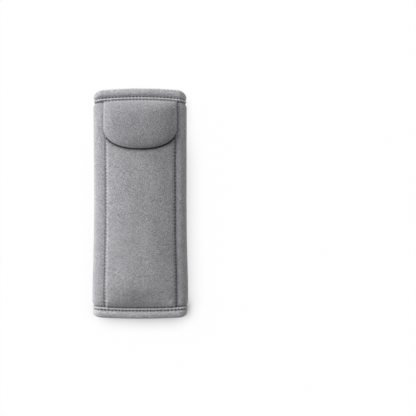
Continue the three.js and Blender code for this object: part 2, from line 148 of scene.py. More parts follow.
# Stitching
STITCH_PITCH = 3.4
THREAD_RADIUS = 0.27
PIT_DEPTH = 0.62
PIT_REACH = 0.85
ROW_DEPTH = 0.14
ROW_REACH = 0.8
NAP_SINK = 0.05
FLAP_PULL, PANEL_PULL = 0.8, 0.62
SCALLOP = 0.22
STITCH = ((-0.95, 0, -0.3), (0, 0, 0.5), (0.95, 0, -0.3))
HOOK = ((0, 0, 0), (1.1, 0, 1.15), (0.5, 0, 0.28))
LOOP = ((-0.35, 0, 0), (0, 0, 1.3), (0.35, 0, 0))
STITCH_SLANT, STITCH_TURN, PILE_TURN = 0.12, 0.1, 0.5
PILE_THREAD_RADIUS = 0.07
PILE_HEIGHT = 0.75

# How far the cloth rises and sinks at random, and how far it gathers beside its stitches
COVER_SOFTNESS, COVER_GATHER, COVER_SEAM_GATHER = 0.3, 0.5, 0.3
PANEL_SOFTNESS, PANEL_FINE_SOFTNESS, PANEL_GATHER = 0.22, 0.1, 0.1
BAND_SOFTNESS, BAND_GATHER = 0.16, 0.13
FLAP_SOFTNESS, FLAP_FINE_SOFTNESS, FLAP_GATHER = 0.3, 0.12, 0.2

# How much painted shade darkens the pile in stitch holes, rows, creases and along the flap's edge, and how
# much painted highlight lightens it on crests and edges
COVER_SEAM_SHADE, COVER_ROW_SHADE = 0.2, 0.4
PANEL_PIT_SHADE, PANEL_ROW_SHADE = 1.2, 0.25
PANEL_HEM_SHADE, PANEL_HEM_PITS = 0.4, 0.6
PANEL_SIDE_SHEEN = 0.45
BAND_PIT_SHADE, BAND_END_SHADE, CREST_SHEEN = 1.9, 1.4, 0.6
BOTTOM_ROW_SHADE = 0.4
FLAP_PIT_SHADE, FLAP_SIDE_SHEEN = 2.4, 0.35
FLAP_TIP_SHADE, FLAP_TIP_SHADE_REACH = 0.55, 9.0
CONTACT_SHADE, CONTACT_FRINGE = 1.9, 0.4
RIM_SHARES = (1.0, 1.0, 1.0, 0.95, 0.7, 0.35)
# Each darker patch has its middle, its reach across and along, and how dark it is
DARKER_PATCHES = (
    (-7.0, -97.0, 24.0, 15.0, 0.46), (25.0, -38.0, 12.0, 24.0, 0.16), (20.0, 44.0, 13.0, 12.0, 0.2),
)

# Plush nap
TUFT_SIZE, PATCH_SIZE, SMUDGE_SIZE = 0.42, 2.8, 17.0
TUFT_CONTRAST, PATCH_CONTRAST, SMUDGE_CONTRAST = 0.54, 0.02, 0.07
# How far full painted shade darkens the plush, and the darkest it gets
PAINTED_SHADE_DARKNESS, DARKEST = 0.46, 0.03
NAP_RELIEF, NAP_DEPTH = 0.5, 0.3

# Worked-out sizes
FOLD_RADIUS = SLEEVE_HEIGHT / 2
FLAT_HALF = PAD_WIDTH / 2 - FOLD_RADIUS
FOLD_LENGTH = math.pi * FOLD_RADIUS
BACK_START = FLAT_HALF + FOLD_LENGTH
LEAF_END = BACK_START + FLAT_HALF + LEAF_OVERLAP / 2
RISE_START = BACK_START + LEAF_RISE_START
RISE_END = RISE_START + LEAF_RISE_LENGTH
MARGIN_START = RISE_START + 0.2 * LEAF_RISE_LENGTH
MARGIN_END = RISE_END - 0.05 * LEAF_RISE_LENGTH
FOAM_END = MARGIN_START + 0.6 * (MARGIN_END - MARGIN_START)
PLAIN_STACK = COVER_THICKNESS + FIT_GAP + LINING_THICKNESS
BODY_LINING_DEPTH = COVER_THICKNESS + FIT_GAP + FOAM_THICKNESS + FIT_GAP
HEM_LINING_DEPTH = COVER_THICKNESS + FIT_GAP + HEM_FOAM_THICKNESS + FIT_GAP
CLOSURE_LIFT = PLAIN_STACK + 2 * STRIP_THICKNESS + 3 * FIT_GAP
HEM_STACK = PLAIN_STACK + 3 * BAND_THICKNESS + 4 * FIT_GAP
PANEL_HALF_WIDTH = SEAM_HALF_SPAN - PANEL_SEAM_CLEARANCE
PANEL_END = BAND_HEIGHT + FIT_GAP
FLAP_HALF_WIDTH = float(node_box("flap_face")[1][0])
FLAP_ROOT = BAND_HEIGHT + FIT_GAP
FLAP_TIP = PAD_LENGTH / 2 - FLAP_REACH
FLAP_STACK = LINING_THICKNESS + FLAP_PADDING_THICKNESS + COVER_THICKNESS + 2 * FIT_GAP
SIDE_ROW = PANEL_HALF_WIDTH - 0.4
STRIP_ROW = LEAF_OVERLAP / 2 - 3.0
FLAP_STITCH_ROW = FLAP_ROOT + 0.7
PANEL_STITCH_ROW = BODY_ROW + 0.2
PIT_FLOOR = ROW_DEPTH + PIT_DEPTH
SHEET_STEP = STITCH_PITCH / 2
INNER_SHARES = np.linspace(0, 1, 30)[1:-1]


# Shape rules: arrays in, arrays out

def clamp01(t):
    return np.clip(t, 0.0, 1.0)


def mix(a, b, t):
    return a + (b - a) * t


def ease(t, start, end):
    """A smooth step from 0 at start to 1 at end."""
    u = clamp01((t - start) / (end - start))
    return u * u * (3 - 2 * u)


def puff(t):
    """A puffed rise from 0 to 1: steep at the seam, flat at the top."""
    return np.sin(0.5 * np.pi * clamp01(t)) ** 0.9


def bell(t, reach):
    return np.exp(-((t / reach) ** 2))


def stacked(*parts):
    """Points or other rows from their parts, which are arrays or plain numbers."""
    return np.stack(np.broadcast_arrays(*parts), -1)


def rough(x, y, size, seed):
    """Smooth noise from -1 to 1 over a grid, with features of about size."""
    flat = [
        noise.noise(Vector((a / size, b / size, seed)))
        for a, b in zip(np.ravel(x), np.ravel(y))
    ]
    return np.reshape(flat, np.shape(x))


def stitch_pull(along, across):
    """Depth that a stitch row presses into the cloth: a shallow row with a pit at each hole."""
    to_hole = (along / STITCH_PITCH + 0.5) % 1.0 - 0.5
    pit = PIT_DEPTH * bell(to_hole * STITCH_PITCH, PIT_REACH) * bell(across, PIT_REACH)
    return ROW_DEPTH * bell(across, ROW_REACH) + pit


def pit_share(pull):
    """How far a pull of the stitches is that of a hole, 0 to 1."""
    return clamp01((pull - ROW_DEPTH) / (0.8 * PIT_DEPTH))


# The wrap: s runs along its outer face, 0 at the middle of the front, + round the right fold

def leaf_lift(s):
    """How far a leaf has risen over the closure; only the right-hand leaf lies on top."""
    return np.where(s > 0, CLOSURE_LIFT * ease(s, RISE_START, RISE_END), 0.0)


def wrap_points(s, y, depth):
    """Points of the wrap at s, y and a depth under its outer face."""
    s, y, depth = np.broadcast_arrays(s, y, depth)
    side = np.where(s < 0, -1.0, 1.0)
    distance = np.abs(s)
    angle = np.clip(distance - FLAT_HALF, 0, FOLD_LENGTH) / FOLD_RADIUS
    reach = FOLD_RADIUS - depth
    x = side * (np.minimum(distance, FLAT_HALF) + reach * np.sin(angle))
    z = FOLD_RADIUS + reach * np.cos(angle)
    probe = 0.05
    slope = (leaf_lift(s + probe) - leaf_lift(s - probe)) / (2 * probe)
    tilt = np.hypot(1, slope)
    back = distance > BACK_START
    x = np.where(back, side * (FLAT_HALF + BACK_START - distance + depth * slope / tilt), x)
    z = np.where(back, leaf_lift(s) + depth / tilt, z)
    return stacked(x, y, z)


def wrap_frames(s, y, depth):
    """Points, the direction along s and the outward normal, for what is sewn onto the wrap."""
    probe = 0.2
    points = wrap_points(s, y, depth)
    along = wrap_points(s + probe, y, depth) - wrap_points(s - probe, y, depth)
    out = points - wrap_points(s, y, depth + probe)
    along, out = (way / np.linalg.norm(way, axis=-1, keepdims=True) for way in (along, out))
    return points, along, out


def hem_line(s, arch, back_drop):
    """The line that a hem's rows are measured from: an arch in front, a shorter back."""
    distance = np.abs(s)
    across = np.minimum(distance / (PAD_WIDTH / 2), 1)
    drop = back_drop * ease(distance, FLAT_HALF + FOLD_RADIUS, BACK_START)
    return PAD_LENGTH / 2 - arch * across**2 - drop


def top_end(s):
    return hem_line(s, TOP_ARCH, TOP_BACK_DROP) - TOP_BAND_EXTRA


def bottom_end(s):
    return -hem_line(s, BOTTOM_ARCH, BOTTOM_BACK_DROP)


def edge_cut(s, rounding):
    """How far the cloth's edge is cut back at the folds, from the line of the rows."""
    return rounding * bell(np.abs(s) - FLAT_HALF - FOLD_LENGTH / 2, CORNER_SPREAD)


def top_cut(s):
    return edge_cut(s, TOP_CORNER_ROUNDING) - TOP_BAND_EXTRA


def bottom_cut(s):
    return edge_cut(s, BOTTOM_CORNER_ROUNDING)


def top_row(s, distance):
    return top_end(s) - distance - top_cut(s) * clamp01(1 - distance / BAND_HEIGHT)


def bottom_row(s, distance):
    return bottom_end(s) + distance + bottom_cut(s) * clamp01(1 - distance / BAND_HEIGHT)


def row_distance(inset, cut):
    return np.where(inset < BAND_HEIGHT, (inset - cut) / (1 - cut / BAND_HEIGHT), inset)


def end_distance(s, y):
    """Distance along the cloth from its nearer edge."""
    from_top = row_distance(top_end(s) - y, top_cut(s))
    return np.minimum(from_top, row_distance(y - bottom_end(s), bottom_cut(s)))


def fold_share(s):
    """0 on the flat front and back, 1 at the pad's side."""
    return np.sin(np.pi * clamp01((np.abs(s) - FLAT_HALF) / FOLD_LENGTH))


def body_cover_depth(s, y):
    share = clamp01(1 - np.abs(s / SEAM_HALF_SPAN) ** CROWN_FLATNESS)
    from_top = puff((top_end(s) - y - BODY_ROW) / TOP_CROWN_EASE)
    from_bottom = puff((y - bottom_end(s) - BODY_ROW) / BOTTOM_CROWN_EASE)
    past_seam = clamp01((np.abs(s) - SEAM_HALF_SPAN) / SHOULDER_WIDTH)
    shoulder = mix(LEFT_SHOULDER, RIGHT_SHOULDER, ease(s, -SEAM_HALF_SPAN, SEAM_HALF_SPAN))
    crown = (CROWN_HEIGHT * share + shoulder * (1 - past_seam) ** 2) * np.minimum(from_top, from_bottom)
    full_fold = FOLD_FULLNESS * fold_share(s) ** 2 * bell(end_distance(s, y) - BODY_ROW - 2, 4.0)
    return SEAM_DEPTH * bell(np.abs(s) - SEAM_HALF_SPAN, SEAM_SPREAD) - crown - full_fold


def hem_cover_depth(s):
    closure = ease(np.abs(s), RISE_START, RISE_END)
    front = BAND_THICKNESS + FIT_GAP + BAND_ROOM - HEM_CROWN * clamp01(1 - (s / FLAT_HALF) ** 2)
    front = front + HEM_SIDE_PINCH * fold_share(s)
    leaf = np.where(s > 0, HEM_STACK - CLOSURE_LIFT, BAND_THICKNESS + FIT_GAP)
    return mix(front, leaf, closure)


def hem_share(distance):
    return 1 - puff((distance - HEM_RISE_START) / HEM_EASE)


def margin_share(s):
    return ease(np.abs(s), MARGIN_START, MARGIN_END)


def cover_depth(s, y):
    return mix(body_cover_depth(s, y), hem_cover_depth(s), hem_share(end_distance(s, y)))


def hem_lining_depth(s):
    padded = hem_cover_depth(s) + HEM_LINING_DEPTH + HEM_CROWN * clamp01(1 - (s / FLAT_HALF) ** 2)
    return mix(padded, hem_cover_depth(s) + COVER_THICKNESS + FIT_GAP, margin_share(s))


def lining_depth(s, y):
    body = mix(BODY_LINING_DEPTH, COVER_THICKNESS + FIT_GAP, margin_share(s))
    return mix(body, hem_lining_depth(s), hem_share(end_distance(s, y)))


# Heights over the flat front, where s is x

def cover_height(x, y):
    return SLEEVE_HEIGHT - cover_depth(x, y)


def flap_tip_line(x):
    """The y of the flap's lower outline at x."""
    bend = clamp01(1 - (np.abs(x) / FLAP_HALF_WIDTH) ** FLAP_SQUARENESS) ** (1 / FLAP_SQUARENESS)
    return FLAP_TIP + FLAP_ROUNDING * (1 - bend)


def inside_flap_tip(x, y):
    """Distance from the flap's lower outline, inwards."""
    probe = 0.1
    slope = (flap_tip_line(x + probe) - flap_tip_line(x - probe)) / (2 * probe)
    return (y - flap_tip_line(x)) / np.hypot(1, slope)


def flap_dent(x, y):
    """The pile is pressed down along the flap's lower edge."""
    return FLAP_DENT * bell(inside_flap_tip(x, y) - 0.4, 1.3)


def panel_sink(x):
    """The panel's sewn edge lies in the seam's groove, lower than the rest."""
    return 0.3 * bell(PANEL_HALF_WIDTH - np.abs(x), 2.0)


def panel_bottom(x, y):
    return cover_height(x, y) + FIT_GAP - panel_sink(x)


def panel_top(x, y):
    from_seam = PANEL_HALF_WIDTH - np.abs(x)
    from_hem = y - bottom_end(x) - PANEL_END
    share = puff(np.minimum(from_seam, from_hem) / PANEL_EDGE_EASE)
    return panel_bottom(x, y) + mix(PANEL_EDGE_THICKNESS, PANEL_THICKNESS, share)


def lie(points):
    """Moves points sideways as the stuffed cloth lies, at most about 2 mm."""
    points = np.reshape(points, (-1, 3)).copy()
    x, y = points[:, 0], points[:, 1]
    waist = bell(y - WAIST_PLACE, WAIST_REACH)
    from_end = y + PAD_LENGTH / 2 - SPREAD_FROM_END
    spread = bell(from_end, np.where(from_end > 0, SPREAD_LENGTH, SPREAD_FROM_END))
    left = WAIST_LEFT * waist - SPREAD_LEFT * spread + SHIFT_LEFT
    right = SPREAD_RIGHT * spread + SHIFT_RIGHT - WAIST_RIGHT * waist
    inner = INNER_SHIFT * (1 - ease(np.abs(x), SEAM_HALF_SPAN + 2, PAD_WIDTH / 2))
    sway = SEAM_SWAY * spread * bell(x - SEAM_HALF_SPAN, SEAM_SWAY_REACH)
    points[:, 0] += mix(left, right, clamp01(x / PAD_WIDTH + 0.5)) + inner + sway
    return points


# Mesh making

def placed(name, data):
    """A new object for a mesh, a lamp or a camera, linked into the scene."""
    piece = bpy.data.objects.new(name, data)
    bpy.context.scene.collection.objects.link(piece)
    return piece


def new_mesh(name, points, faces, uv=None, painted_shade=None):
    """A closed mesh object from points in millimetres, with its faces turned outwards."""
    points = lie(points) * M
    mesh = bpy.data.meshes.new(name)
    mesh.from_pydata(points.tolist(), [], faces)
    work = bmesh.new()
    work.from_mesh(mesh)
    bmesh.ops.recalc_face_normals(work, faces=work.faces)
    work.to_mesh(mesh)
    work.free()
    mesh.shade_smooth()
    if uv is not None:
        loops = np.zeros(len(mesh.loops), dtype=np.int32)
        mesh.loops.foreach_get("vertex_index", loops)
        layer = mesh.uv_layers.new(name="cloth")
        layer.data.foreach_set("uv", (np.reshape(uv, (-1, 2))[loops] * M).ravel())
    # Painted shade per point: above 0 it darkens the plush, below 0 it is a painted highlight
    if painted_shade is not None:
        layer = mesh.attributes.new("painted_shade", "FLOAT", "POINT")
        layer.data.foreach_set("value", np.ravel(painted_shade))
    return placed(name, mesh)


def rim_of(grid):
    """The indices round a grid's rim, in order."""
    return np.concatenate([grid[:-1, 0], grid[-1, :-1], grid[:0:-1, -1], grid[0, :0:-1]])


def grid_quads(grid):
    return stacked(grid[:-1, :-1], grid[1:, :-1], grid[1:, 1:], grid[:-1, 1:]).reshape(-1, 4)


def slab(name, outer, inner, uv=None, painted_shade=None):
    """A closed cloth between two grids of points, with a rounded edge."""
    nu, nv = outer.shape[:2]
    count = nu * nv
    grid = np.arange(count).reshape(nu, nv)
    rim = rim_of(grid)
    outer, inner = outer.reshape(-1, 3), inner.reshape(-1, 3)
    row, column = np.divmod(rim, nv)
    inside = outer[np.clip(row, 1, nu - 2) * nv + np.clip(column, 1, nv - 2)]
    away = outer[rim] - inside
    away /= np.linalg.norm(away, axis=-1, keepdims=True)
    thickness = np.linalg.norm(outer[rim] - inner[rim], axis=-1, keepdims=True)
    middle = (outer[rim] + inner[rim]) / 2 + 0.3 * thickness * away
    mid = 2 * count + np.arange(len(rim))
    turn = lambda values: np.roll(values, -1)
    upper_wall = stacked(turn(rim), rim, mid, turn(mid))
    lower_wall = stacked(turn(mid), mid, rim + count, turn(rim) + count)
    quads = grid_quads(grid)
    faces = np.concatenate([quads, (quads + count)[:, ::-1], upper_wall, lower_wall]).tolist()

    def on_all(values):
        if values is None:
            return None
        values = np.reshape(values, (count, -1))
        return np.concatenate([values, values, values[rim]])

    return new_mesh(name, np.concatenate([outer, inner, middle]), faces, on_all(uv), on_all(painted_shade))


def ringed(name, outer, inner, painted_shade=None):
    """A closed plate whose two sheets are rings (ring, corner, 3) that end in a pole each."""
    rings, corners = outer.shape[:2]
    sheet = rings * corners
    grid = np.arange(sheet).reshape(rings, corners)
    closed = np.concatenate([grid, grid[:, :1]], axis=1)
    quads = grid_quads(closed)
    fan = stacked(closed[-1, :-1], closed[-1, 1:])
    faces = np.concatenate([quads, (quads + sheet)[:, ::-1]]).tolist()
    faces += [[a, b, 2 * sheet] for a, b in fan.tolist()]
    faces += [[b, a, 2 * sheet + 1] for a, b in (fan + sheet).tolist()]
    first, follow = closed[0, :-1], closed[0, 1:]
    faces += stacked(follow, first, first + sheet, follow + sheet).tolist()
    points = np.concatenate([
        outer.reshape(-1, 3), inner.reshape(-1, 3), outer[-1].mean(0)[None], inner[-1].mean(0)[None],
    ])
    if painted_shade is not None:
        painted_shade = np.concatenate([np.ravel(painted_shade), np.ravel(painted_shade), [0.0, 0.0]])
    return new_mesh(name, points, faces, None, painted_shade)


def tube(name, points, painted_shade):
    """A closed tube from rings of points (around, column, 3), with a pole at each end."""
    around, columns = points.shape[:2]
    index = np.arange(around * columns).reshape(around, columns)
    ring = np.concatenate([index, index[:1]], axis=0)
    poles = [around * columns, around * columns + 1]
    first, last = ring[:, 0].tolist(), ring[:, -1].tolist()
    faces = grid_quads(ring).tolist()
    faces += [[a, b, poles[0]] for a, b in zip(first[:-1], first[1:])]
    faces += [[b, a, poles[1]] for a, b in zip(last[:-1], last[1:])]
    caps = [points[:, 0].mean(axis=0), points[:, -1].mean(axis=0)]
    every = np.concatenate([points.reshape(-1, 3), caps])
    return new_mesh(name, every, faces, None, np.concatenate([painted_shade.ravel(), [0, 0]]))


def spaced(start, *stretches):
    """Values from start on, through stretches given as (end, step)."""
    values = [start]
    for end, step in stretches:
        count = max(1, round((end - values[-1]) / step))
        values.extend(np.linspace(values[-1], end, count + 1)[1:])
    return np.array(values)


def mirrored(distances):
    return np.concatenate([-distances[:0:-1], distances])


def wrap_grid(columns, low_rows, step, high_rows):
    """The s and y of a grid over the wrap: rows by distance near both ends, even between."""
    s = columns[:, None]
    low = bottom_row(s, low_rows[None])
    high = top_row(s, high_rows[::-1][None])
    count = round((PAD_LENGTH - low_rows[-1] - high_rows[-1]) / step)
    share = np.linspace(0, 1, count + 1)[1:-1][None]
    y = np.concatenate([low, mix(low[:, -1:], high[:, :1], share), high], axis=1)
    return np.broadcast_to(s, y.shape), y


# Sleeve: cover, foam and lining

def leaf_x(s):
    """Where a spot on either leaf lies across the back."""
    return np.sign(s) * (FLAT_HALF + BACK_START - np.abs(s))


def wrap_layer(name, s, y, outer, inner, painted_shade=None):
    """A layer of the wrap between two depths, with its cloth coordinates."""
    sheets = wrap_points(s, y, outer), wrap_points(s, y, inner)
    return slab(name, *sheets, stacked(s, y), painted_shade)


def sleeve_cover():
    columns = mirrored(spaced(0, (31, 2.5), (39.2, 0.45), (LEAF_END, STITCH_PITCH / 3)))
    near_hem = spaced(EDGE_INSET, (9.2, 1.6), (14, 0.45), (19, 0.8))
    s, y = wrap_grid(columns, near_hem, STITCH_PITCH / 3, near_hem)
    distance = end_distance(s, y)
    from_seam = np.abs(s) - SEAM_HALF_SPAN
    strip_rows = stitch_pull(y, np.abs(np.abs(leaf_x(s)) - STRIP_ROW))
    sewn = np.maximum(stitch_pull(s, distance - BODY_ROW), stitch_pull(y, from_seam))
    sewn = np.maximum(sewn, np.where(s < -BACK_START, 1.3 * strip_rows, 0))
    pucker = bell(distance - BODY_ROW - 3, 4.5) * (0.5 + 0.5 * rough(s, 0.3 * y, 4.2, 3.0))
    soft = 0.5 + 0.5 * rough(s, y, 13.0, 7.0)
    beside_seam = bell(from_seam, 4.5) * (0.5 + 0.5 * rough(0.3 * s, y, 4.6, 11.0))
    sunk = COVER_GATHER * pucker + COVER_SOFTNESS * soft + COVER_SEAM_GATHER * beside_seam
    depth = cover_depth(s, y) + sewn + (1 - hem_share(distance)) * sunk
    # Painted shade in the stitch holes and rows, along the long seams and beside the body rows
    shade = COVER_SEAM_SHADE * bell(from_seam, 0.8) + COVER_ROW_SHADE * bell(distance - BODY_ROW, 1.2)
    return wrap_layer("sleeve_cover", s, y, depth, depth + COVER_THICKNESS, clamp01(sewn / 0.6 + shade))


def sleeve_foam():
    columns = mirrored(spaced(0, (31, 4), (39.2, 1.4), (FOAM_END, 2.2)))
    near_hem = spaced(EDGE_INSET, (11, 2.8), (19, 1.3))
    s, y = wrap_grid(columns, near_hem, 4.0, near_hem)
    top = cover_depth(s, y) + COVER_THICKNESS + 1.1
    bottom = np.maximum(lining_depth(s, y) - FIT_GAP, top + 0.2)
    return slab("sleeve_foam", wrap_points(s, y, top), wrap_points(s, y, bottom))


def sleeve_lining():
    columns = mirrored(spaced(0, (FLAT_HALF, 3), (LEAF_END, 1.6)))
    near_hem = spaced(EDGE_INSET, (11, 2), (19, 1.0))
    s, y = wrap_grid(columns, near_hem, 2.4, near_hem)
    depth = lining_depth(s, y)
    sag = 0.12 * rough(s, y, 9.0, 21.0) * (1 - hem_share(end_distance(s, y)))
    return wrap_layer("sleeve_lining", s, y, depth, depth + LINING_THICKNESS + sag)


# Pocket panel

def darker_patches(x, y):
    """Patches where the pile's colour is made darker."""
    spots = [share * bell(x - a, wide) * bell(y - b, far) for a, b, wide, far, share in DARKER_PATCHES]
    return sum(spots)


def inflated_sheet(columns, rows):
    """Heights of a slack sheet blown up while its rim is held at every stitch, by cloth simulation."""
    x, y = np.meshgrid(columns, rows, indexing="ij")
    across = clamp01(1 - (x / columns[-1]) ** 2)
    along = clamp01((y - rows[0]) * (rows[-1] - y) / (rows[-1] - rows[0]) ** 2 * 4)
    grid = np.arange(x.size).reshape(x.shape)
    mesh = bpy.data.meshes.new("slack_sheet")
    points = stacked(x, y, 0.5 * across * along).reshape(-1, 3) * M * SHEET_SCALE
    mesh.from_pydata(points.tolist(), [], grid_quads(grid).tolist())
    sheet = placed("slack_sheet", mesh)
    held = np.zeros(x.shape, dtype=bool)
    held[[0, -1], ::2] = True
    held[::2, [0, -1]] = True
    pins = sheet.vertex_groups.new(name="held")
    pins.add(grid[held].tolist(), 1.0, "REPLACE")
    cloth = sheet.modifiers.new("cloth", "CLOTH")
    cloth.point_cache.frame_end = SHEET_FRAMES
    cloth.collision_settings.use_collision = False
    rules = cloth.settings
    rules.quality = 6
    rules.tension_stiffness = rules.compression_stiffness = 15
    rules.bending_stiffness = 0.5
    rules.use_pressure = True
    rules.uniform_pressure_force = SHEET_PRESSURE
    rules.vertex_group_mass = "held"
    rules.shrink_min = -0.03
    rules.effector_weights.gravity = 0
    for number in range(1, SHEET_FRAMES + 1):
        bpy.context.scene.frame_set(number)
    seen = sheet.evaluated_get(bpy.context.evaluated_depsgraph_get())
    got = np.zeros(3 * x.size)
    seen.data.vertices.foreach_get("co", got)
    bpy.context.scene.frame_set(1)
    bpy.data.objects.remove(sheet)
    bpy.data.meshes.remove(mesh)
    return got.reshape(*x.shape, 3)[..., 2] / (M * SHEET_SCALE)


def local_mean(field, axis):
    """The field averaged along one axis over about three stitches each way."""
    ends = [(0, 0), (0, 0)]
    ends[axis] = (MEAN_REACH, MEAN_REACH)
    padded = np.pad(field, ends, mode="reflect")
    spots = np.arange(field.shape[axis])
    shifted = [np.take(padded, spots + k, axis=axis) for k in range(2 * MEAN_REACH + 1)]
    return np.mean(shifted, axis=0)


def seam_puckers():
    """What the blown-up sheet adds to its smooth dome: puckers that run in from the stitches."""
    half_counts = [round(half / SHEET_STEP) for half in (PANEL_HALF_WIDTH, SHEET_HALF_LENGTH)]
    columns, rows = (np.arange(-count, count + 1) * SHEET_STEP for count in half_counts)
    heights = inflated_sheet(columns, rows)
    by_end = 1 - ease(np.minimum(rows - rows[0], rows[-1] - rows)[None], 6, 18)
    relief = mix(heights - local_mean(heights, 1), heights - local_mean(heights, 0), by_end)
    return columns, rows, np.clip(relief, -RELIEF_LIMIT, RELIEF_LIMIT)


pucker_columns, pucker_rows, pucker_relief = seam_puckers()


def pucker_height(x, y):
    """The simulated puckers at x and y, read between the sheet's points."""
    u = np.clip((x - pucker_columns[0]) / SHEET_STEP, 0, len(pucker_columns) - 1.001)
    v = np.clip((y - pucker_rows[0]) / SHEET_STEP, 0, len(pucker_rows) - 1.001)
    i, j = u.astype(int), v.astype(int)
    a, b = u - i, v - j
    low = mix(pucker_relief[i, j], pucker_relief[i + 1, j], a)
    high = mix(pucker_relief[i, j + 1], pucker_relief[i + 1, j + 1], a)
    return mix(low, high, b)


def panel_shade(x, y, from_seam, from_hem, sewn):
    """Painted shade on the panel: in its stitch holes and rows, beside the hem and along the flap's lower
    edge, plus darker patches, less a painted highlight along its seam edges.
    """
    beyond_flap = -inside_flap_tip(x, y)
    # Painted shadow along the flap's lower edge, where it meets the panel
    contact = CONTACT_SHADE * bell(beyond_flap - 0.4, 1.2) + CONTACT_FRINGE * bell(beyond_flap - 1.6, 2.2)
    stitched = PANEL_PIT_SHADE * pit_share(sewn) + PANEL_ROW_SHADE * clamp01(sewn / ROW_DEPTH)
    hem_edge = PANEL_HEM_SHADE * bell(from_hem - PANEL_END, 1.2)
    hem_edge = hem_edge + PANEL_HEM_PITS * pit_share(stitch_pull(x, from_hem - PANEL_END))
    # Painted highlight along the panel's edges beside the long seams
    shine = PANEL_SIDE_SHEEN * bell(from_seam - 0.8, 0.6)
    return stitched + contact + darker_patches(x, y) + hem_edge - shine


def pocket_panel():
    columns = mirrored(spaced(0, (PANEL_HALF_WIDTH - 5, 1.35), (PANEL_HALF_WIDTH, 0.42)))
    low_rows = spaced(PANEL_END, (14, 0.42), (19, 0.8))
    high_rows = spaced(POCKET_MOUTH, (POCKET_MOUTH + 3, 1.0))
    x, y = wrap_grid(columns, low_rows, STITCH_PITCH / 4, high_rows)
    from_seam = PANEL_HALF_WIDTH - np.abs(x)
    from_hem = y - bottom_end(x)
    past_row = from_hem - BODY_ROW
    scallop = SCALLOP * np.cos(2 * np.pi * y / STITCH_PITCH) * bell(from_seam, 1.1)
    sewn = np.maximum(stitch_pull(y, np.abs(x) - SIDE_ROW), stitch_pull(x, from_hem - PANEL_STITCH_ROW))
    soft = PANEL_SOFTNESS * rough(x, y, 15.0, 31.0) + PANEL_FINE_SOFTNESS * rough(x, y, 6.0, 37.0)
    gather = PANEL_GATHER * bell(past_row - 3.5, 3.5) * rough(x, 0.25 * y, 3.6, 43.0)
    beside = np.maximum(1 - ease(from_seam, 3, 9), 1 - ease(past_row, 3, 9))
    puckers = RELIEF_SHARE * pucker_height(x, y) * beside
    top = panel_top(x, y) - PANEL_PULL * sewn - flap_dent(x, y)
    top = top + puff(from_seam / 9) * puff(past_row / 9) * soft + (gather + puckers) * puff(from_seam / 2)
    edge = x + np.sign(x) * scallop
    sheets = stacked(edge, y, top), stacked(edge, y, panel_bottom(x, y))
    shade = panel_shade(x, y, from_seam, from_hem, sewn)
    return slab("front_pocket", *sheets, stacked(x, y), shade)


# Hem bands

def smooth_loop(corners, steps):
    """A closed Catmull-Rom curve through corners (corner, column, 2), with steps points a span."""
    before, after = np.roll(corners, 1, axis=0), np.roll(corners, -1, axis=0)
    beyond = np.roll(corners, -2, axis=0)
    samples = []
    for t in np.arange(steps) / steps:
        samples.append(0.5 * (
            2 * corners + (after - before) * t
            + (2 * before - 5 * corners + 4 * after - beyond) * t**2
            + (3 * corners - before - 3 * after + beyond) * t**3
        ))
    return np.stack(samples, axis=1).reshape(-1, *corners.shape[1:])


def band_profile(s, fold_growth):
    """Distance from the end line and depth round the folded band, from its raw outer edge."""
    outer = hem_cover_depth(s) - FIT_GAP
    inner = hem_lining_depth(s) + LINING_THICKNESS + FIT_GAP
    middle = (outer + inner) / 2
    full = 1 - ease(np.abs(s), RISE_START, RISE_END)
    face = outer - BAND_THICKNESS
    under = ease(np.abs(s), FLAT_HALF, FLAT_HALF + 0.75 * FOLD_LENGTH)
    bulge = mix(BAND_BULGE, 0.9 * BAND_ROOM, under) * full * (1 - 0.35 * fold_share(s))
    ridge = RIDGE_HEIGHT * full * (1 - 0.45 * fold_share(s))
    crest = BAND_HEIGHT - RIDGE_WIDTH / 2
    raw_edge = BAND_ROW + 1
    roll = EDGE_INSET * (1 + fold_growth * fold_share(s))
    inside = inner + BAND_THICKNESS
    scallop = SCALLOP * full * np.cos(2 * np.pi * s / STITCH_PITCH)
    corners = [
        (BAND_HEIGHT, outer), (EDGE_INSET, outer), (0.5 * EDGE_INSET, mix(outer, middle, 0.5)),
        (0.5 * EDGE_INSET, mix(inner, middle, 0.5)), (EDGE_INSET, inner), (raw_edge, inner),
        (raw_edge, inside), (EDGE_INSET, inside), (0.3 * EDGE_INSET, mix(middle, inside, 0.72)),
        (0, middle), (0.22 * roll, mix(middle, face - bulge, 0.55)),
        (0.58 * roll, mix(middle, face - bulge, 0.86)), (0.56 * BAND_ROW, face - bulge),
        (0.8 * BAND_ROW, face - 0.62 * bulge), (BAND_ROW, face + 0.1),
        (crest - 0.3 * RIDGE_WIDTH, face - 0.8 * ridge + scallop),
        (crest + 0.2 * RIDGE_WIDTH, face - ridge + scallop), (BAND_HEIGHT, face - 0.2 * ridge),
    ]
    return np.stack([stacked(distance, depth) for distance, depth in corners])


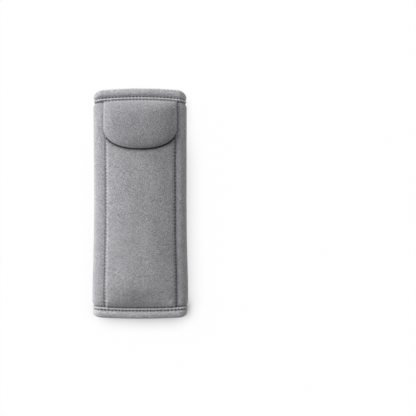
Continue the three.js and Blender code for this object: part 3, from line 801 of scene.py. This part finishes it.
def hem_band(name, row_y, fold_growth, row_shade, seed):
    """The folded band round one end, with its stitched row and its ridge; painted shade in its stitch holes
    and, for the bottom band, along its row and its folded end, and a painted highlight on the ridge's
    crest.
    """
    count = round(2 * LEAF_END / (STITCH_PITCH / 4))
    s = np.linspace(-LEAF_END, LEAF_END, count + 1)
    loop = smooth_loop(band_profile(s, fold_growth), 3)
    distance, depth = loop[..., 0], loop[..., 1]
    outside = depth < (hem_cover_depth(s) + hem_lining_depth(s)) / 2
    row = stitch_pull(s[None], distance - BAND_ROW)
    body = ease(distance, 0.4, 3.0) * (1 - ease(distance, BAND_ROW - 1.2, BAND_ROW))
    along = s[None] + 0 * distance
    soft = BAND_SOFTNESS * rough(along, distance, 7.0, seed)
    gather = bell(distance - BAND_ROW + 2.2, 2.2) * rough(along, 0.3 * distance, 3.4, seed + 5)
    sunk = row + (soft + BAND_GATHER * gather) * body
    depth = depth + np.where(outside, sunk, -0.6 * row * (distance > 2))
    # Painted highlight on the ridge's crest, less at the folds
    crest = bell(distance - BAND_HEIGHT + 0.6 * RIDGE_WIDTH, 0.6) * (1 - 0.6 * fold_share(s[None]))
    # Painted shade in the stitch holes, and for the bottom band along its row and its folded end
    stitched = BAND_PIT_SHADE * pit_share(row) + row_shade * clamp01(row / ROW_DEPTH)
    shade = stitched + row_shade * BAND_END_SHADE * bell(distance, 1.4) - CREST_SHEEN * crest
    points = wrap_points(s[None], row_y(s[None], distance), depth)
    return tube(name, points, np.where(outside, shade, 0))


# Flap

def flap_outline():
    """The D seen from the front, anticlockwise from its left side, in even short steps."""
    angle = np.pi * (1 - np.arange(241) / 240)
    bend = lambda value: np.sign(value) * np.abs(value) ** (2 / FLAP_SQUARENESS)
    low = FLAP_TIP + FLAP_ROUNDING * (1 - bend(np.sin(angle)))
    tip = stacked(FLAP_HALF_WIDTH * bend(np.cos(angle)), low)
    across = np.linspace(FLAP_HALF_WIDTH, -FLAP_HALF_WIDTH, 61)
    root = stacked(across, top_end(across) - FLAP_ROOT)
    corners = np.concatenate([tip, root, tip[:1]])
    lengths = np.concatenate([[0], np.cumsum(np.linalg.norm(np.diff(corners, axis=0), axis=-1))])
    steps = np.linspace(0, lengths[-1], round(lengths[-1] / (STITCH_PITCH / 4)) + 1)[:-1]
    return np.stack([np.interp(steps, lengths, corners[:, k]) for k in (0, 1)], -1)


flap_rim = flap_outline()
flap_middle = np.array([0, FLAP_TIP + 0.55 * (float(top_end(0)) - FLAP_ROOT - FLAP_TIP)])


def flap_puff(x, y, side_reach, tip_reach):
    """How full the flap is at a spot: 0 along its rim, 1 well inside."""
    from_tip = y - flap_tip_line(x)
    from_root = top_end(x) - FLAP_ROOT - y
    sides = puff((FLAP_HALF_WIDTH - np.abs(x)) / side_reach)
    return sides * puff(from_tip / tip_reach) * puff(from_root / FLAP_ROOT_EASE)


def flap_fullness(x, y):
    """A quick roll at the rim and a slow rise behind it."""
    roll = flap_puff(x, y, FLAP_EDGE_EASE, FLAP_EDGE_EASE)
    return mix(flap_puff(x, y, FLAP_SIDE_EASE, FLAP_TIP_EASE), roll, FLAP_ROLL_SHARE)


def inset_rings(distances, shares):
    """Rings inside the flap's rim: first by inset distance, then by share of the way inwards."""
    ahead = np.roll(flap_rim, -2, axis=0) - np.roll(flap_rim, 2, axis=0)
    ahead /= np.linalg.norm(ahead, axis=-1, keepdims=True)
    inward = stacked(-ahead[:, 1], ahead[:, 0])
    rings = [flap_rim + distance * inward for distance in distances]
    rings += [mix(rings[-1], flap_middle, share) for share in shares]
    return np.stack(rings)


def raised(rings, height):
    """Points of the rings at their heights."""
    return stacked(rings[..., 0], rings[..., 1], height)


def flap_bottom(x, y):
    inside = np.clip(x, -PANEL_HALF_WIDTH + 1, PANEL_HALF_WIDTH - 1)
    over_panel = ease(top_end(x) - y, FLAP_ROOT, POCKET_MOUTH - 1)
    resting = mix(cover_height(inside, y), panel_top(inside, y), over_panel)
    droop = FLAP_SIDE_DROOP * ease(np.abs(x), PANEL_HALF_WIDTH, FLAP_HALF_WIDTH)
    lift = 2 * PATCH_THICKNESS * flap_puff(x, y, FLAP_BELLY_EASE, FLAP_BELLY_EASE)
    return np.maximum(resting + lift - droop, cover_height(x, y) + FIT_GAP) + FIT_GAP


def flap_top(x, y):
    full = flap_fullness(x, y)
    top = flap_bottom(x, y) + mix(FLAP_EDGE_THICKNESS, FLAP_STACK, full)
    from_root = top_end(x) - y - FLAP_ROOT
    soft = FLAP_SOFTNESS * rough(x, y, 14.0, 51.37) + FLAP_FINE_SOFTNESS * rough(x, y, 6.5, 53.0)
    gather = bell(from_root - 4, 4) * rough(x, 0.25 * y, 4.0, 57.0)
    sewn = stitch_pull(x, top_end(x) - y - FLAP_STITCH_ROW)
    top = top + full * soft + FLAP_GATHER * gather * puff(from_root / 2)
    return top - FLAP_PULL * sewn - 0.5 * bell(from_root, 2.4)


def flap_shade(x, y, rim_rings):
    """Painted shade on the flap: in its root's stitch holes, towards its lower tip and round its rim, where
    it meets the panel; a painted highlight along its sides.
    """
    sheen = FLAP_SIDE_SHEEN * bell(FLAP_HALF_WIDTH - np.abs(x) - 1.5, 1.8)
    # Painted shade towards the flap's lower tip, strongest right of the middle
    tip_shade = bell(x - 12, 26.0) * (1 - ease(y - flap_tip_line(x), 0, FLAP_TIP_SHADE_REACH))
    stitched = FLAP_PIT_SHADE * pit_share(stitch_pull(x, top_end(x) - y - FLAP_STITCH_ROW))
    shade = stitched - sheen + FLAP_TIP_SHADE * tip_shade
    # Painted shadow round the flap's rolled rim, except near its root
    rim = CONTACT_SHADE * np.array(RIM_SHARES)[:, None] * ease(top_end(x) - y - FLAP_ROOT, 2, 8)[:rim_rings]
    shade[:rim_rings] = np.maximum(shade[:rim_rings], rim)
    return shade


def flap_face():
    top_rings = inset_rings([0.45, 0.95, 1.6, 2.4, 3.4, 4.6, 6.0, 7.5], INNER_SHARES)
    rolled = inset_rings([TURNED_EDGE, 1.6, 0.55, 0.14, 0, 0.12], [])
    rise = np.array([0.0, 0.0, 0.06, 0.3, 0.62, 0.88])[:, None]
    x, y = np.moveaxis(rolled, -1, 0)
    roll_height = mix(flap_bottom(x, y), flap_top(x, y), rise)
    top_height = flap_top(top_rings[..., 0], top_rings[..., 1])
    outer = np.concatenate([raised(rolled, roll_height), raised(top_rings, top_height)])
    inner_insets = [TURNED_EDGE, 1.7, 0.95, 0.6, 0.5, 0.62, 0.8, 1.2, 1.8, 2.5, 3.5, 4.7, 6.1, 7.6]
    inner_height = outer[..., 2].copy()
    inner_height[:3] += FLAP_CLOTH_THICKNESS
    inner_height[3] += 0.2
    inner_height[5] -= 0.3
    inner_height[6:] -= FLAP_CLOTH_THICKNESS
    inner = raised(inset_rings(inner_insets, INNER_SHARES), inner_height)
    return ringed("flap_cover", outer, inner, flap_shade(outer[..., 0], outer[..., 1], len(rise)))


def flap_layer(name, insets, bottom_rise, top_rise):
    """A plain layer inside the flap, whose rises are measured from the flap's underside."""
    rings = inset_rings(insets, INNER_SHARES[1::2])
    x, y = np.moveaxis(rings, -1, 0)
    base = flap_bottom(x, y)
    top = base + top_rise * (0.45 + 0.55 * flap_fullness(x, y))
    return ringed(name, raised(rings, top), raised(rings, base + bottom_rise))


# Hook-and-loop tapes, hidden between the leaves and under the flap

def tape_ground(node, name, low_share, high_share):
    """The woven ground of a tape or patch, a share of its solid's own thickness."""
    low, high = node_box(node)
    steps = [np.linspace(low[k], high[k], max(4, round((high[k] - low[k]) / 2)) + 1) for k in (0, 1)]
    x, y = np.meshgrid(*steps, indexing="ij")
    if node == "flap_hook_patch":
        base, height = flap_bottom(x, y) - FIT_GAP - PATCH_THICKNESS, PATCH_THICKNESS
    elif node == "pocket_loop_patch":
        base, height = panel_top(x, y) + FIT_GAP, PATCH_THICKNESS
    else:
        base, height = low[2] + 0 * x, high[2] - low[2]
    sheets = [stacked(x, y, base + share * height) for share in (high_share, low_share)]
    return slab(name, *sheets, stacked(x, y)), x, y, base, height


# Node trees

def add_node(tree, kind, inputs=(), **settings):
    """A node with its settings; each input is given as (socket, value or output socket)."""
    made = tree.nodes.new(kind)
    for label, value in settings.items():
        setattr(made, label, value)
    for socket, value in inputs:
        if isinstance(value, bpy.types.NodeSocket):
            tree.links.new(value, made.inputs[socket])
        else:
            made.inputs[socket].default_value = value
    return made


def calculate(tree, operation, *values):
    return add_node(tree, "ShaderNodeMath", list(enumerate(values)), operation=operation).outputs[0]


def new_tree(name, kind, inputs, outputs):
    """A node tree with its sockets; inputs and outputs give the kind of socket for each name."""
    tree = bpy.data.node_groups.new(name, kind)
    for way, sockets in (("INPUT", inputs), ("OUTPUT", outputs)):
        for label, socket in sockets.items():
            tree.interface.new_socket(name=label, in_out=way, socket_type="NodeSocket" + socket)
    given, made = tree.nodes.new("NodeGroupInput"), tree.nodes.new("NodeGroupOutput")
    return tree, given.outputs, made.inputs


# Repeats: one node tree sets out stitches, hooks and loops

def thread_tree():
    """Instances one short round thread on every point, turned by facing and running."""
    inputs = dict(
        Geometry="Geometry", Start="Vector", Middle="Vector", End="Vector", Radius="Float",
        Slant="Float", Turn="Float", Seed="Int", Material="Material",
    )
    tree, given, made = new_tree("thread_repeats", "GeometryNodeTree", inputs, dict(Geometry="Geometry"))
    bow = add_node(tree, "GeometryNodeCurveQuadraticBezier", [
        ("Resolution", 6), *((label, given[label]) for label in ("Start", "Middle", "End")),
    ])
    ring = add_node(tree, "GeometryNodeCurvePrimitiveCircle", [
        ("Resolution", 5), ("Radius", given["Radius"]),
    ])
    thread = add_node(tree, "GeometryNodeCurveToMesh", [
        ("Curve", bow.outputs[0]), ("Profile Curve", ring.outputs[0]), ("Fill Caps", True),
    ])
    facing, running = (
        add_node(tree, "GeometryNodeInputNamedAttribute", [("Name", label)], data_type="FLOAT_VECTOR")
        for label in ("facing", "running")
    )
    axes = add_node(tree, "FunctionNodeAxesToRotation", [
        ("Primary Axis", facing.outputs["Attribute"]), ("Secondary Axis", running.outputs["Attribute"]),
    ], primary_axis="Z", secondary_axis="X")
    back = calculate(tree, "MULTIPLY", given["Turn"], -1.0)
    chance = add_node(tree, "FunctionNodeRandomValue", [
        (2, back), (3, given["Turn"]), ("Seed", given["Seed"]),
    ], data_type="FLOAT")
    lean = calculate(tree, "ADD", given["Slant"], chance.outputs[1])
    spin = add_node(tree, "ShaderNodeCombineXYZ", [("Z", lean)])
    turn = add_node(tree, "FunctionNodeEulerToRotation", [(0, spin.outputs[0])])
    both = add_node(tree, "FunctionNodeRotateRotation", [
        (0, axes.outputs[0]), (1, turn.outputs[0]),
    ], rotation_space="LOCAL")
    place = add_node(tree, "GeometryNodeInstanceOnPoints", [
        ("Points", given["Geometry"]), ("Instance", thread.outputs[0]), ("Rotation", both.outputs[0]),
    ])
    real = add_node(tree, "GeometryNodeRealizeInstances", [(0, place.outputs[0])])
    coat = add_node(tree, "GeometryNodeSetMaterial", [
        ("Geometry", real.outputs[0]), ("Material", given["Material"]),
    ])
    tree.links.new(coat.outputs[0], made[0])
    return tree


repeats = thread_tree()


def set_out(name, points, facing, running, material, bow, radius, slant=0.0, turn=0.0, seed=1):
    """Plain mesh of threads on the points; bow holds each thread's start, middle and end."""
    dots = bpy.data.meshes.new(name + "_points")
    dots.from_pydata((lie(points) * M).tolist(), [], [])
    for label, values in (("facing", facing), ("running", running)):
        layer = dots.attributes.new(label, "FLOAT_VECTOR", "POINT")
        layer.data.foreach_set("vector", np.broadcast_to(values, np.shape(points)).ravel().astype(float))
    piece = placed(name, dots)
    modifier = piece.modifiers.new("repeats", "NODES")
    modifier.node_group = repeats
    start, middle, end = ([v * M for v in corner] for corner in bow)
    given = {
        "Start": start, "Middle": middle, "End": end,
        "Radius": radius * M, "Slant": slant, "Turn": turn, "Seed": seed, "Material": material,
    }
    for socket in repeats.interface.items_tree:
        if socket.in_out == "INPUT" and socket.name in given:
            modifier[socket.identifier] = given[socket.name]
    bpy.context.view_layer.update()
    seen = piece.evaluated_get(bpy.context.evaluated_depsgraph_get())
    mesh = bpy.data.meshes.new_from_object(seen)
    piece.modifiers.remove(modifier)
    piece.data = mesh
    bpy.data.meshes.remove(dots)
    mesh.name = name
    mesh.shade_smooth()
    return piece

# Materials

def srgb(*levels):
    """A linear colour from levels of 0 to 255 as they read in the photograph."""
    shares = np.array(levels) / 255
    linear = np.where(shares <= 0.04045, shares / 12.92, ((shares + 0.055) / 1.055) ** 2.4)
    return (*linear.tolist(), 1.0)


def grain(tree, place, size, detail=2.0, roughness=0.5):
    """Noise with features of about size millimetres, from -1 to 1."""
    noisy = add_node(tree, "ShaderNodeTexNoise", [
        ("Vector", place), ("Scale", 1 / (size * M)), ("Detail", detail), ("Roughness", roughness),
    ])
    spread = [("From Min", 0.25), ("From Max", 0.75), ("To Min", -1.0), ("To Max", 1.0)]
    return add_node(tree, "ShaderNodeMapRange", [("Value", noisy.outputs[0]), *spread]).outputs[0]


def fabric_tree(name):
    outputs = dict(Colour="Color", Normal="Vector")
    return new_tree(name, "ShaderNodeTree", dict(Colour="Color"), outputs)


def send_out(tree, given, made, level, height, strength, depth):
    """Puts out the group's colour times its level, and the normal of its relief."""
    tint = [(0, given["Colour"]), ("Scale", level)]
    shade = add_node(tree, "ShaderNodeVectorMath", tint, operation="SCALE")
    relief = [("Strength", strength), ("Distance", depth * M), ("Height", height)]
    tree.links.new(shade.outputs[0], made["Colour"])
    tree.links.new(add_node(tree, "ShaderNodeBump", relief).outputs[0], made["Normal"])
    return tree


def plush_group():
    """Short pile: mottled nap, smudges where it lies another way, and painted shade from a point attribute
    that darkens stitched grooves, creases and the flap's contact, and below 0 is a painted highlight.
    """
    tree, given, made = fabric_tree("plush_nap")
    place = add_node(tree, "ShaderNodeTexCoord").outputs["Object"]
    tuft = add_node(tree, "ShaderNodeTexVoronoi", [("Vector", place), ("Scale", 1 / (TUFT_SIZE * M))])
    apart = add_node(tree, "ShaderNodeSeparateColor", [(0, tuft.outputs["Color"])])
    fine = calculate(tree, "MULTIPLY_ADD", apart.outputs[0], 2.0, -1.0)
    middle, smudge = grain(tree, place, PATCH_SIZE), grain(tree, place, SMUDGE_SIZE)
    mottle = calculate(tree, "MULTIPLY", fine, TUFT_CONTRAST)
    mottle = calculate(tree, "MULTIPLY_ADD", middle, PATCH_CONTRAST, mottle)
    mottle = calculate(tree, "MULTIPLY_ADD", smudge, SMUDGE_CONTRAST, mottle)
    # Painted shade read from the mesh darkens the pile; below 0 it lightens it as a painted highlight
    painted_shade = add_node(tree, "ShaderNodeAttribute", attribute_name="painted_shade").outputs["Fac"]
    level = calculate(tree, "MULTIPLY_ADD", painted_shade, -PAINTED_SHADE_DARKNESS, 1.0)
    level = calculate(tree, "MULTIPLY_ADD", level, mottle, level)
    level = calculate(tree, "MAXIMUM", level, DARKEST)
    height = calculate(tree, "MULTIPLY_ADD", middle, 0.15, fine)
    return send_out(tree, given, made, level, height, NAP_RELIEF, NAP_DEPTH)


def woven_group(name, period, depth, darkness, kind):
    """A fabric's relief by its own cloth coordinates: knit ribs or a woven tape ground, with painted shade
    in its hollows.
    """
    tree, given, made = fabric_tree(name)
    cloth = add_node(tree, "ShaderNodeUVMap", uv_map="cloth").outputs[0]
    apart = add_node(tree, "ShaderNodeSeparateXYZ", [(0, cloth)])
    turns = 2 * math.pi / (period * M)
    across = calculate(tree, "SINE", calculate(tree, "MULTIPLY", apart.outputs[0], turns))
    along_turn = calculate(tree, "MULTIPLY", apart.outputs[1], turns * (0.8 if kind == "knit" else 1.0))
    if kind == "knit":
        along_turn = calculate(tree, "MULTIPLY_ADD", calculate(tree, "ABSOLUTE", across), 1.6, along_turn)
    along = calculate(tree, "SINE", along_turn)
    height = calculate(tree, "MULTIPLY_ADD", across, 0.5, calculate(tree, "MULTIPLY", along, 0.5))
    # Painted shade: darker where the relief is low
    level = calculate(tree, "MULTIPLY_ADD", height, darkness, 1.0 - darkness)
    return send_out(tree, given, made, level, height, 0.6, depth)


def new_material(name, colour, roughness, sheen=0.0, group=None):
    material = bpy.data.materials.new(name)
    material.use_nodes = True
    tree = material.node_tree
    shader = tree.nodes["Principled BSDF"]
    shader.inputs["Base Color"].default_value = colour
    shader.inputs["Roughness"].default_value = roughness
    shader.inputs["Specular IOR Level"].default_value = 0.2
    shader.inputs["Sheen Weight"].default_value = sheen
    shader.inputs["Sheen Roughness"].default_value = 0.5
    if group:
        look = add_node(tree, "ShaderNodeGroup", node_tree=group)
        look.inputs["Colour"].default_value = colour
        tree.links.new(look.outputs["Colour"], shader.inputs["Base Color"])
        tree.links.new(look.outputs["Normal"], shader.inputs["Normal"])
    return material


plush_nap = plush_group()
PLUSH_ROUGHNESS, PLUSH_SHEEN = 0.95, 0.6
pile = (PLUSH_ROUGHNESS, PLUSH_SHEEN, plush_nap)
PLUSH = new_material("plush", srgb(159, 158, 162), *pile)
# A darker copy of the plush, as painted shade over the flap
SHADED_FLAP_PLUSH = new_material("plush_flap", srgb(145, 144, 148), *pile)
# A lighter copy of the plush, as painted light on the hem bands
LIGHTER_BAND_PLUSH = new_material("plush_band", srgb(171, 170, 174), *pile)
THREAD = new_material("thread", srgb(86, 86, 91), 0.8)
FOAM = new_material("foam", srgb(217, 214, 200), 0.95)
fine_knit = woven_group("fine_knit", 0.9, 0.15, 0.2, "knit")
tape_weave = woven_group("tape_ground", 0.7, 0.1, 0.15, "tape")
KNIT = new_material("lining_knit", srgb(91, 91, 96), 0.9, 0.1, fine_knit)
TAPE = new_material("tape", srgb(60, 60, 64), 0.85, 0.0, tape_weave)


# The pieces, each with its material and the node that it stands for

def finish(piece, material, slot, *nodes):
    if not piece.data.materials:
        piece.data.materials.append(material)
    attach(piece, "root")
    if nodes:
        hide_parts(*nodes)
    return piece


cover = finish(sleeve_cover(), PLUSH, "plush", "outer_cover")
foam = finish(sleeve_foam(), FOAM, "foam", "padding_foam")
lining = finish(sleeve_lining(), KNIT, "lining", "belt_lining")
panel = finish(pocket_panel(), PLUSH, "plush", "pocket_panel")
top_hem = hem_band("top_hem", top_row, TOP_FOLD_GROWTH, 0.0, 61.0)
finish(top_hem, LIGHTER_BAND_PLUSH, "plush_band", "top_hem_band")
bottom_hem = hem_band("bottom_hem", bottom_row, BOTTOM_FOLD_GROWTH, BOTTOM_ROW_SHADE, 71.0)
finish(bottom_hem, LIGHTER_BAND_PLUSH, "plush_band", "bottom_hem_band")
flap = finish(flap_face(), SHADED_FLAP_PLUSH, "plush", "flap_face")
layer_insets = [3.4, 4.6, 6.0, 7.5]
flap_back = flap_layer("flap_back", layer_insets, 0.02, 0.6)
finish(flap_back, KNIT, "lining", "flap_lining")
flap_pad = flap_layer("flap_pad", layer_insets, 0.7, FLAP_STACK - 1.3)
finish(flap_pad, FOAM, "foam", "flap_padding")


def fastener(node, name, bow, low_share, high_share, side, seed):
    """A tape with its pile: side is 1 where the pile stands up and -1 where it hangs."""
    ground, x, y, base, height = tape_ground(node, name, low_share, high_share)
    finish(ground, TAPE, "fastener", node)
    start = base + (high_share if side > 0 else low_share) * height
    room = (1 - abs(high_share - low_share)) * height / PILE_HEIGHT
    bow = [tuple(v * room for v in corner) for corner in bow]
    spots = stacked(x, y, start)[1:-1, 1:-1]
    look = dict(bow=bow, radius=PILE_THREAD_RADIUS, turn=PILE_TURN, seed=seed)
    finish(set_out(name + "_pile", spots, (0, 0, side), (0, 1, 0), TAPE, **look), TAPE, "fastener")


fastener("hook_strip", "hook_tape", HOOK, 0, 0.35, 1, 3)
fastener("loop_strip", "loop_tape", LOOP, 0.65, 1, -1, 4)
fastener("pocket_loop_patch", "pocket_patch", LOOP, 0, 0.4, 1, 5)
fastener("flap_hook_patch", "flap_patch", HOOK, 0.6, 1, -1, 6)


# Stitch rows

def stitches(name, points, facing, running, seed):
    look = dict(bow=STITCH, radius=THREAD_RADIUS, slant=STITCH_SLANT, turn=STITCH_TURN, seed=seed)
    return finish(set_out(name, points, facing, running, THREAD, **look), THREAD, "plush")


def stitch_places(reach):
    """Places of stitches on both sides of 0, as far as a reach."""
    count = int(reach / STITCH_PITCH)
    return np.arange(-count, count + 1) * STITCH_PITCH


def wrap_row(name, row_y, distance, depth_at, seed, keep=None):
    """A row of stitches round the wrap, at a distance from one end."""
    s = stitch_places(LEAF_END - 1.5)
    if keep is not None:
        s = s[keep(s)]
    y = row_y(s, distance)
    points, along, out = wrap_frames(s, y, depth_at(s, y))
    stitches(name, points, out, along, seed)


def front_row(name, x, y, height, running, seed):
    """A row of stitches on the flat front."""
    stitches(name, stacked(x, y, height + NAP_SINK), (0, 0, 1), running, seed)


def length_row(name, place, seed):
    """A row of stitches along the wrap at s = place, clear of both hems."""
    y = stitch_places(PAD_LENGTH / 2)
    y = y[end_distance(place + 0 * y, y) > BODY_ROW + 2]
    s = place + 0 * y
    points, along, out = wrap_frames(s, y, body_depth(s, y))
    stitches(name, points, out, (0, 1, 0), seed)


band_depth = lambda s, y: hem_cover_depth(s) - FIT_GAP - BAND_THICKNESS + 0.1 + PIT_FLOOR - NAP_SINK
body_depth = lambda s, y: cover_depth(s, y) + PIT_FLOOR - NAP_SINK
beside_flap = lambda s: np.abs(s) > FLAP_HALF_WIDTH + 0.8
beside_panel = lambda s: np.abs(s) > PANEL_HALF_WIDTH + 0.4
wrap_row("top_band_stitches", top_row, BAND_ROW, band_depth, 11)
wrap_row("bottom_band_stitches", bottom_row, BAND_ROW, band_depth, 12)
wrap_row("top_body_stitches", top_row, BODY_ROW, body_depth, 13, beside_flap)
wrap_row("bottom_body_stitches", bottom_row, BODY_ROW, body_depth, 14, beside_panel)

across = stitch_places(PANEL_HALF_WIDTH + 1)
y = top_end(across) - FLAP_STITCH_ROW
front_row("flap_root_stitches", across, y, flap_top(across, y), (1, 0, 0), 15)
y = bottom_end(across) + PANEL_STITCH_ROW
sunk = PANEL_PULL * PIT_FLOOR
front_row("panel_hem_stitches", across, y, panel_top(across, y) - sunk, (1, 0, 0), 16)

for label, x in (("left", -SIDE_ROW), ("right", SIDE_ROW)):
    y = stitch_places(PAD_LENGTH / 2)
    y = y[(y > bottom_end(x) + BODY_ROW + 1.5) & (y < top_end(x) - POCKET_MOUTH - 1)]
    front_row(label + "_seam_stitches", x, y, panel_top(x, y) - sunk, (0, 1, 0), 17)
for label, x in (("near", -STRIP_ROW), ("far", STRIP_ROW)):
    length_row("closure_stitches_" + label, -(FLAT_HALF + BACK_START + x), 18)


# Stage, light and camera, in metres

def plane(name, size, z):
    mesh = bpy.data.meshes.new(name)
    h = size / 2
    mesh.from_pydata([(-h, -h, z), (h, -h, z), (h, h, z), (-h, h, z)], [], [(0, 1, 2, 3)])
    return placed(name, mesh)


FLOOR_SIZE = 6.0
FLOOR_WHITE = 0.96
FLOOR_HEIGHT = -0.0002
SHADOW_REACH = 0.024
CLEAR_SHARE = 0.94
FAR_SHADOW, NEAR_SHADOW = 0.015, 1.6
SHADOW_STEPS = ((0.105, 0.03), (-0.085, -0.118))
CONTACT_REACH = 0.010
CONTACT_SHADOW, BOTTOM_CONTACT = 0.4, 3.0


def floor_material():
    """White ground that glows a little to the camera, so that shadows on it stay light."""
    material = bpy.data.materials.new("studio_floor")
    material.use_nodes = True
    tree = material.node_tree
    tree.nodes.clear()
    glow = add_node(tree, "ShaderNodeEmission", [("Color", (1, 1, 1, 1)), ("Strength", 1.0)])
    seen = add_node(tree, "ShaderNodeLightPath").outputs["Is Camera Ray"]
    around, foot = (
        add_node(tree, "ShaderNodeAmbientOcclusion", [("Distance", reach)], samples=16).outputs["AO"]
        for reach in (SHADOW_REACH, CONTACT_REACH)
    )
    closed = calculate(tree, "SUBTRACT", CLEAR_SHARE, around)
    place = add_node(tree, "ShaderNodeTexCoord").outputs["Object"]
    along = add_node(tree, "ShaderNodeSeparateXYZ", [(0, place)]).outputs[1]
    strength = 0.0
    for start, end in SHADOW_STEPS:
        step = add_node(tree, "ShaderNodeMapRange", [
            ("Value", along), ("From Min", start), ("From Max", end), ("To Max", NEAR_SHADOW / 2),
        ], interpolation_type="SMOOTHSTEP").outputs[0]
        strength = calculate(tree, "ADD", step, strength)
    white = (FLOOR_WHITE, FLOOR_WHITE, FLOOR_WHITE, 1)
    ground = add_node(tree, "ShaderNodeBsdfDiffuse", [("Color", white)])
    lit = calculate(tree, "MAXIMUM", calculate(tree, "MULTIPLY", closed, strength), FAR_SHADOW)
    foot = calculate(tree, "SUBTRACT", 1.0, foot)
    touch = calculate(tree, "MULTIPLY_ADD", step, BOTTOM_CONTACT, CONTACT_SHADOW)
    foot = calculate(tree, "MULTIPLY", foot, touch)
    lit = add_node(tree, "ShaderNodeMath", [(0, lit), (1, foot)], operation="MAXIMUM", use_clamp=True)
    share = calculate(tree, "MULTIPLY", seen, calculate(tree, "SUBTRACT", 1.0, lit.outputs[0]))
    both = add_node(tree, "ShaderNodeMixShader", [(0, share), (1, ground.outputs[0]), (2, glow.outputs[0])])
    add_node(tree, "ShaderNodeOutputMaterial", [("Surface", both.outputs[0])])
    return material


floor = plane("floor", FLOOR_SIZE, FLOOR_HEIGHT)
floor.data.materials.append(floor_material())

world = bpy.data.worlds.new("studio")
bpy.context.scene.world = world
world.use_nodes = True
sky = world.node_tree
path = add_node(sky, "ShaderNodeLightPath")
direct = calculate(sky, "MAXIMUM", path.outputs["Is Camera Ray"], path.outputs["Is Glossy Ray"])
direct = calculate(sky, "MAXIMUM", direct, path.outputs["Is Transmission Ray"])
AMBIENT = 0.39
level = calculate(sky, "MULTIPLY_ADD", direct, 1 - AMBIENT, AMBIENT)
sky.links.new(level, sky.nodes["Background"].inputs["Strength"])
sky.nodes["Background"].inputs["Color"].default_value = (1, 1, 1, 1)

KEY_POWER = 163.0
KEY_DISTANCE = 3.0
KEY_ELEVATION = math.radians(23)
KEY_BEARING = (-0.81, 0.59, 0)
KEY_SIZE = (4.0, 2.4)
key_toward = Vector(KEY_BEARING).normalized() * math.cos(KEY_ELEVATION)
key_toward.z = math.sin(KEY_ELEVATION)
lamp = bpy.data.lights.new("key", "AREA")
lamp.shape = "RECTANGLE"
lamp.size, lamp.size_y = KEY_SIZE
lamp.energy = KEY_POWER
key = placed("key", lamp)
key.location = key_toward * KEY_DISTANCE
key.rotation_euler = key_toward.to_track_quat("Z", "Y").to_euler()

CAMERA_PLACE = (0.0682, -0.0045, 1.014)
SENSOR_WIDTH, FOCAL_LENGTH = 36.0, 86.5
lens = bpy.data.cameras.new("camera")
lens.sensor_width, lens.lens = SENSOR_WIDTH, FOCAL_LENGTH
camera = placed("camera", lens)
camera.location = CAMERA_PLACE
bpy.context.scene.camera = camera

bpy.context.scene.view_settings.view_transform = "Standard"
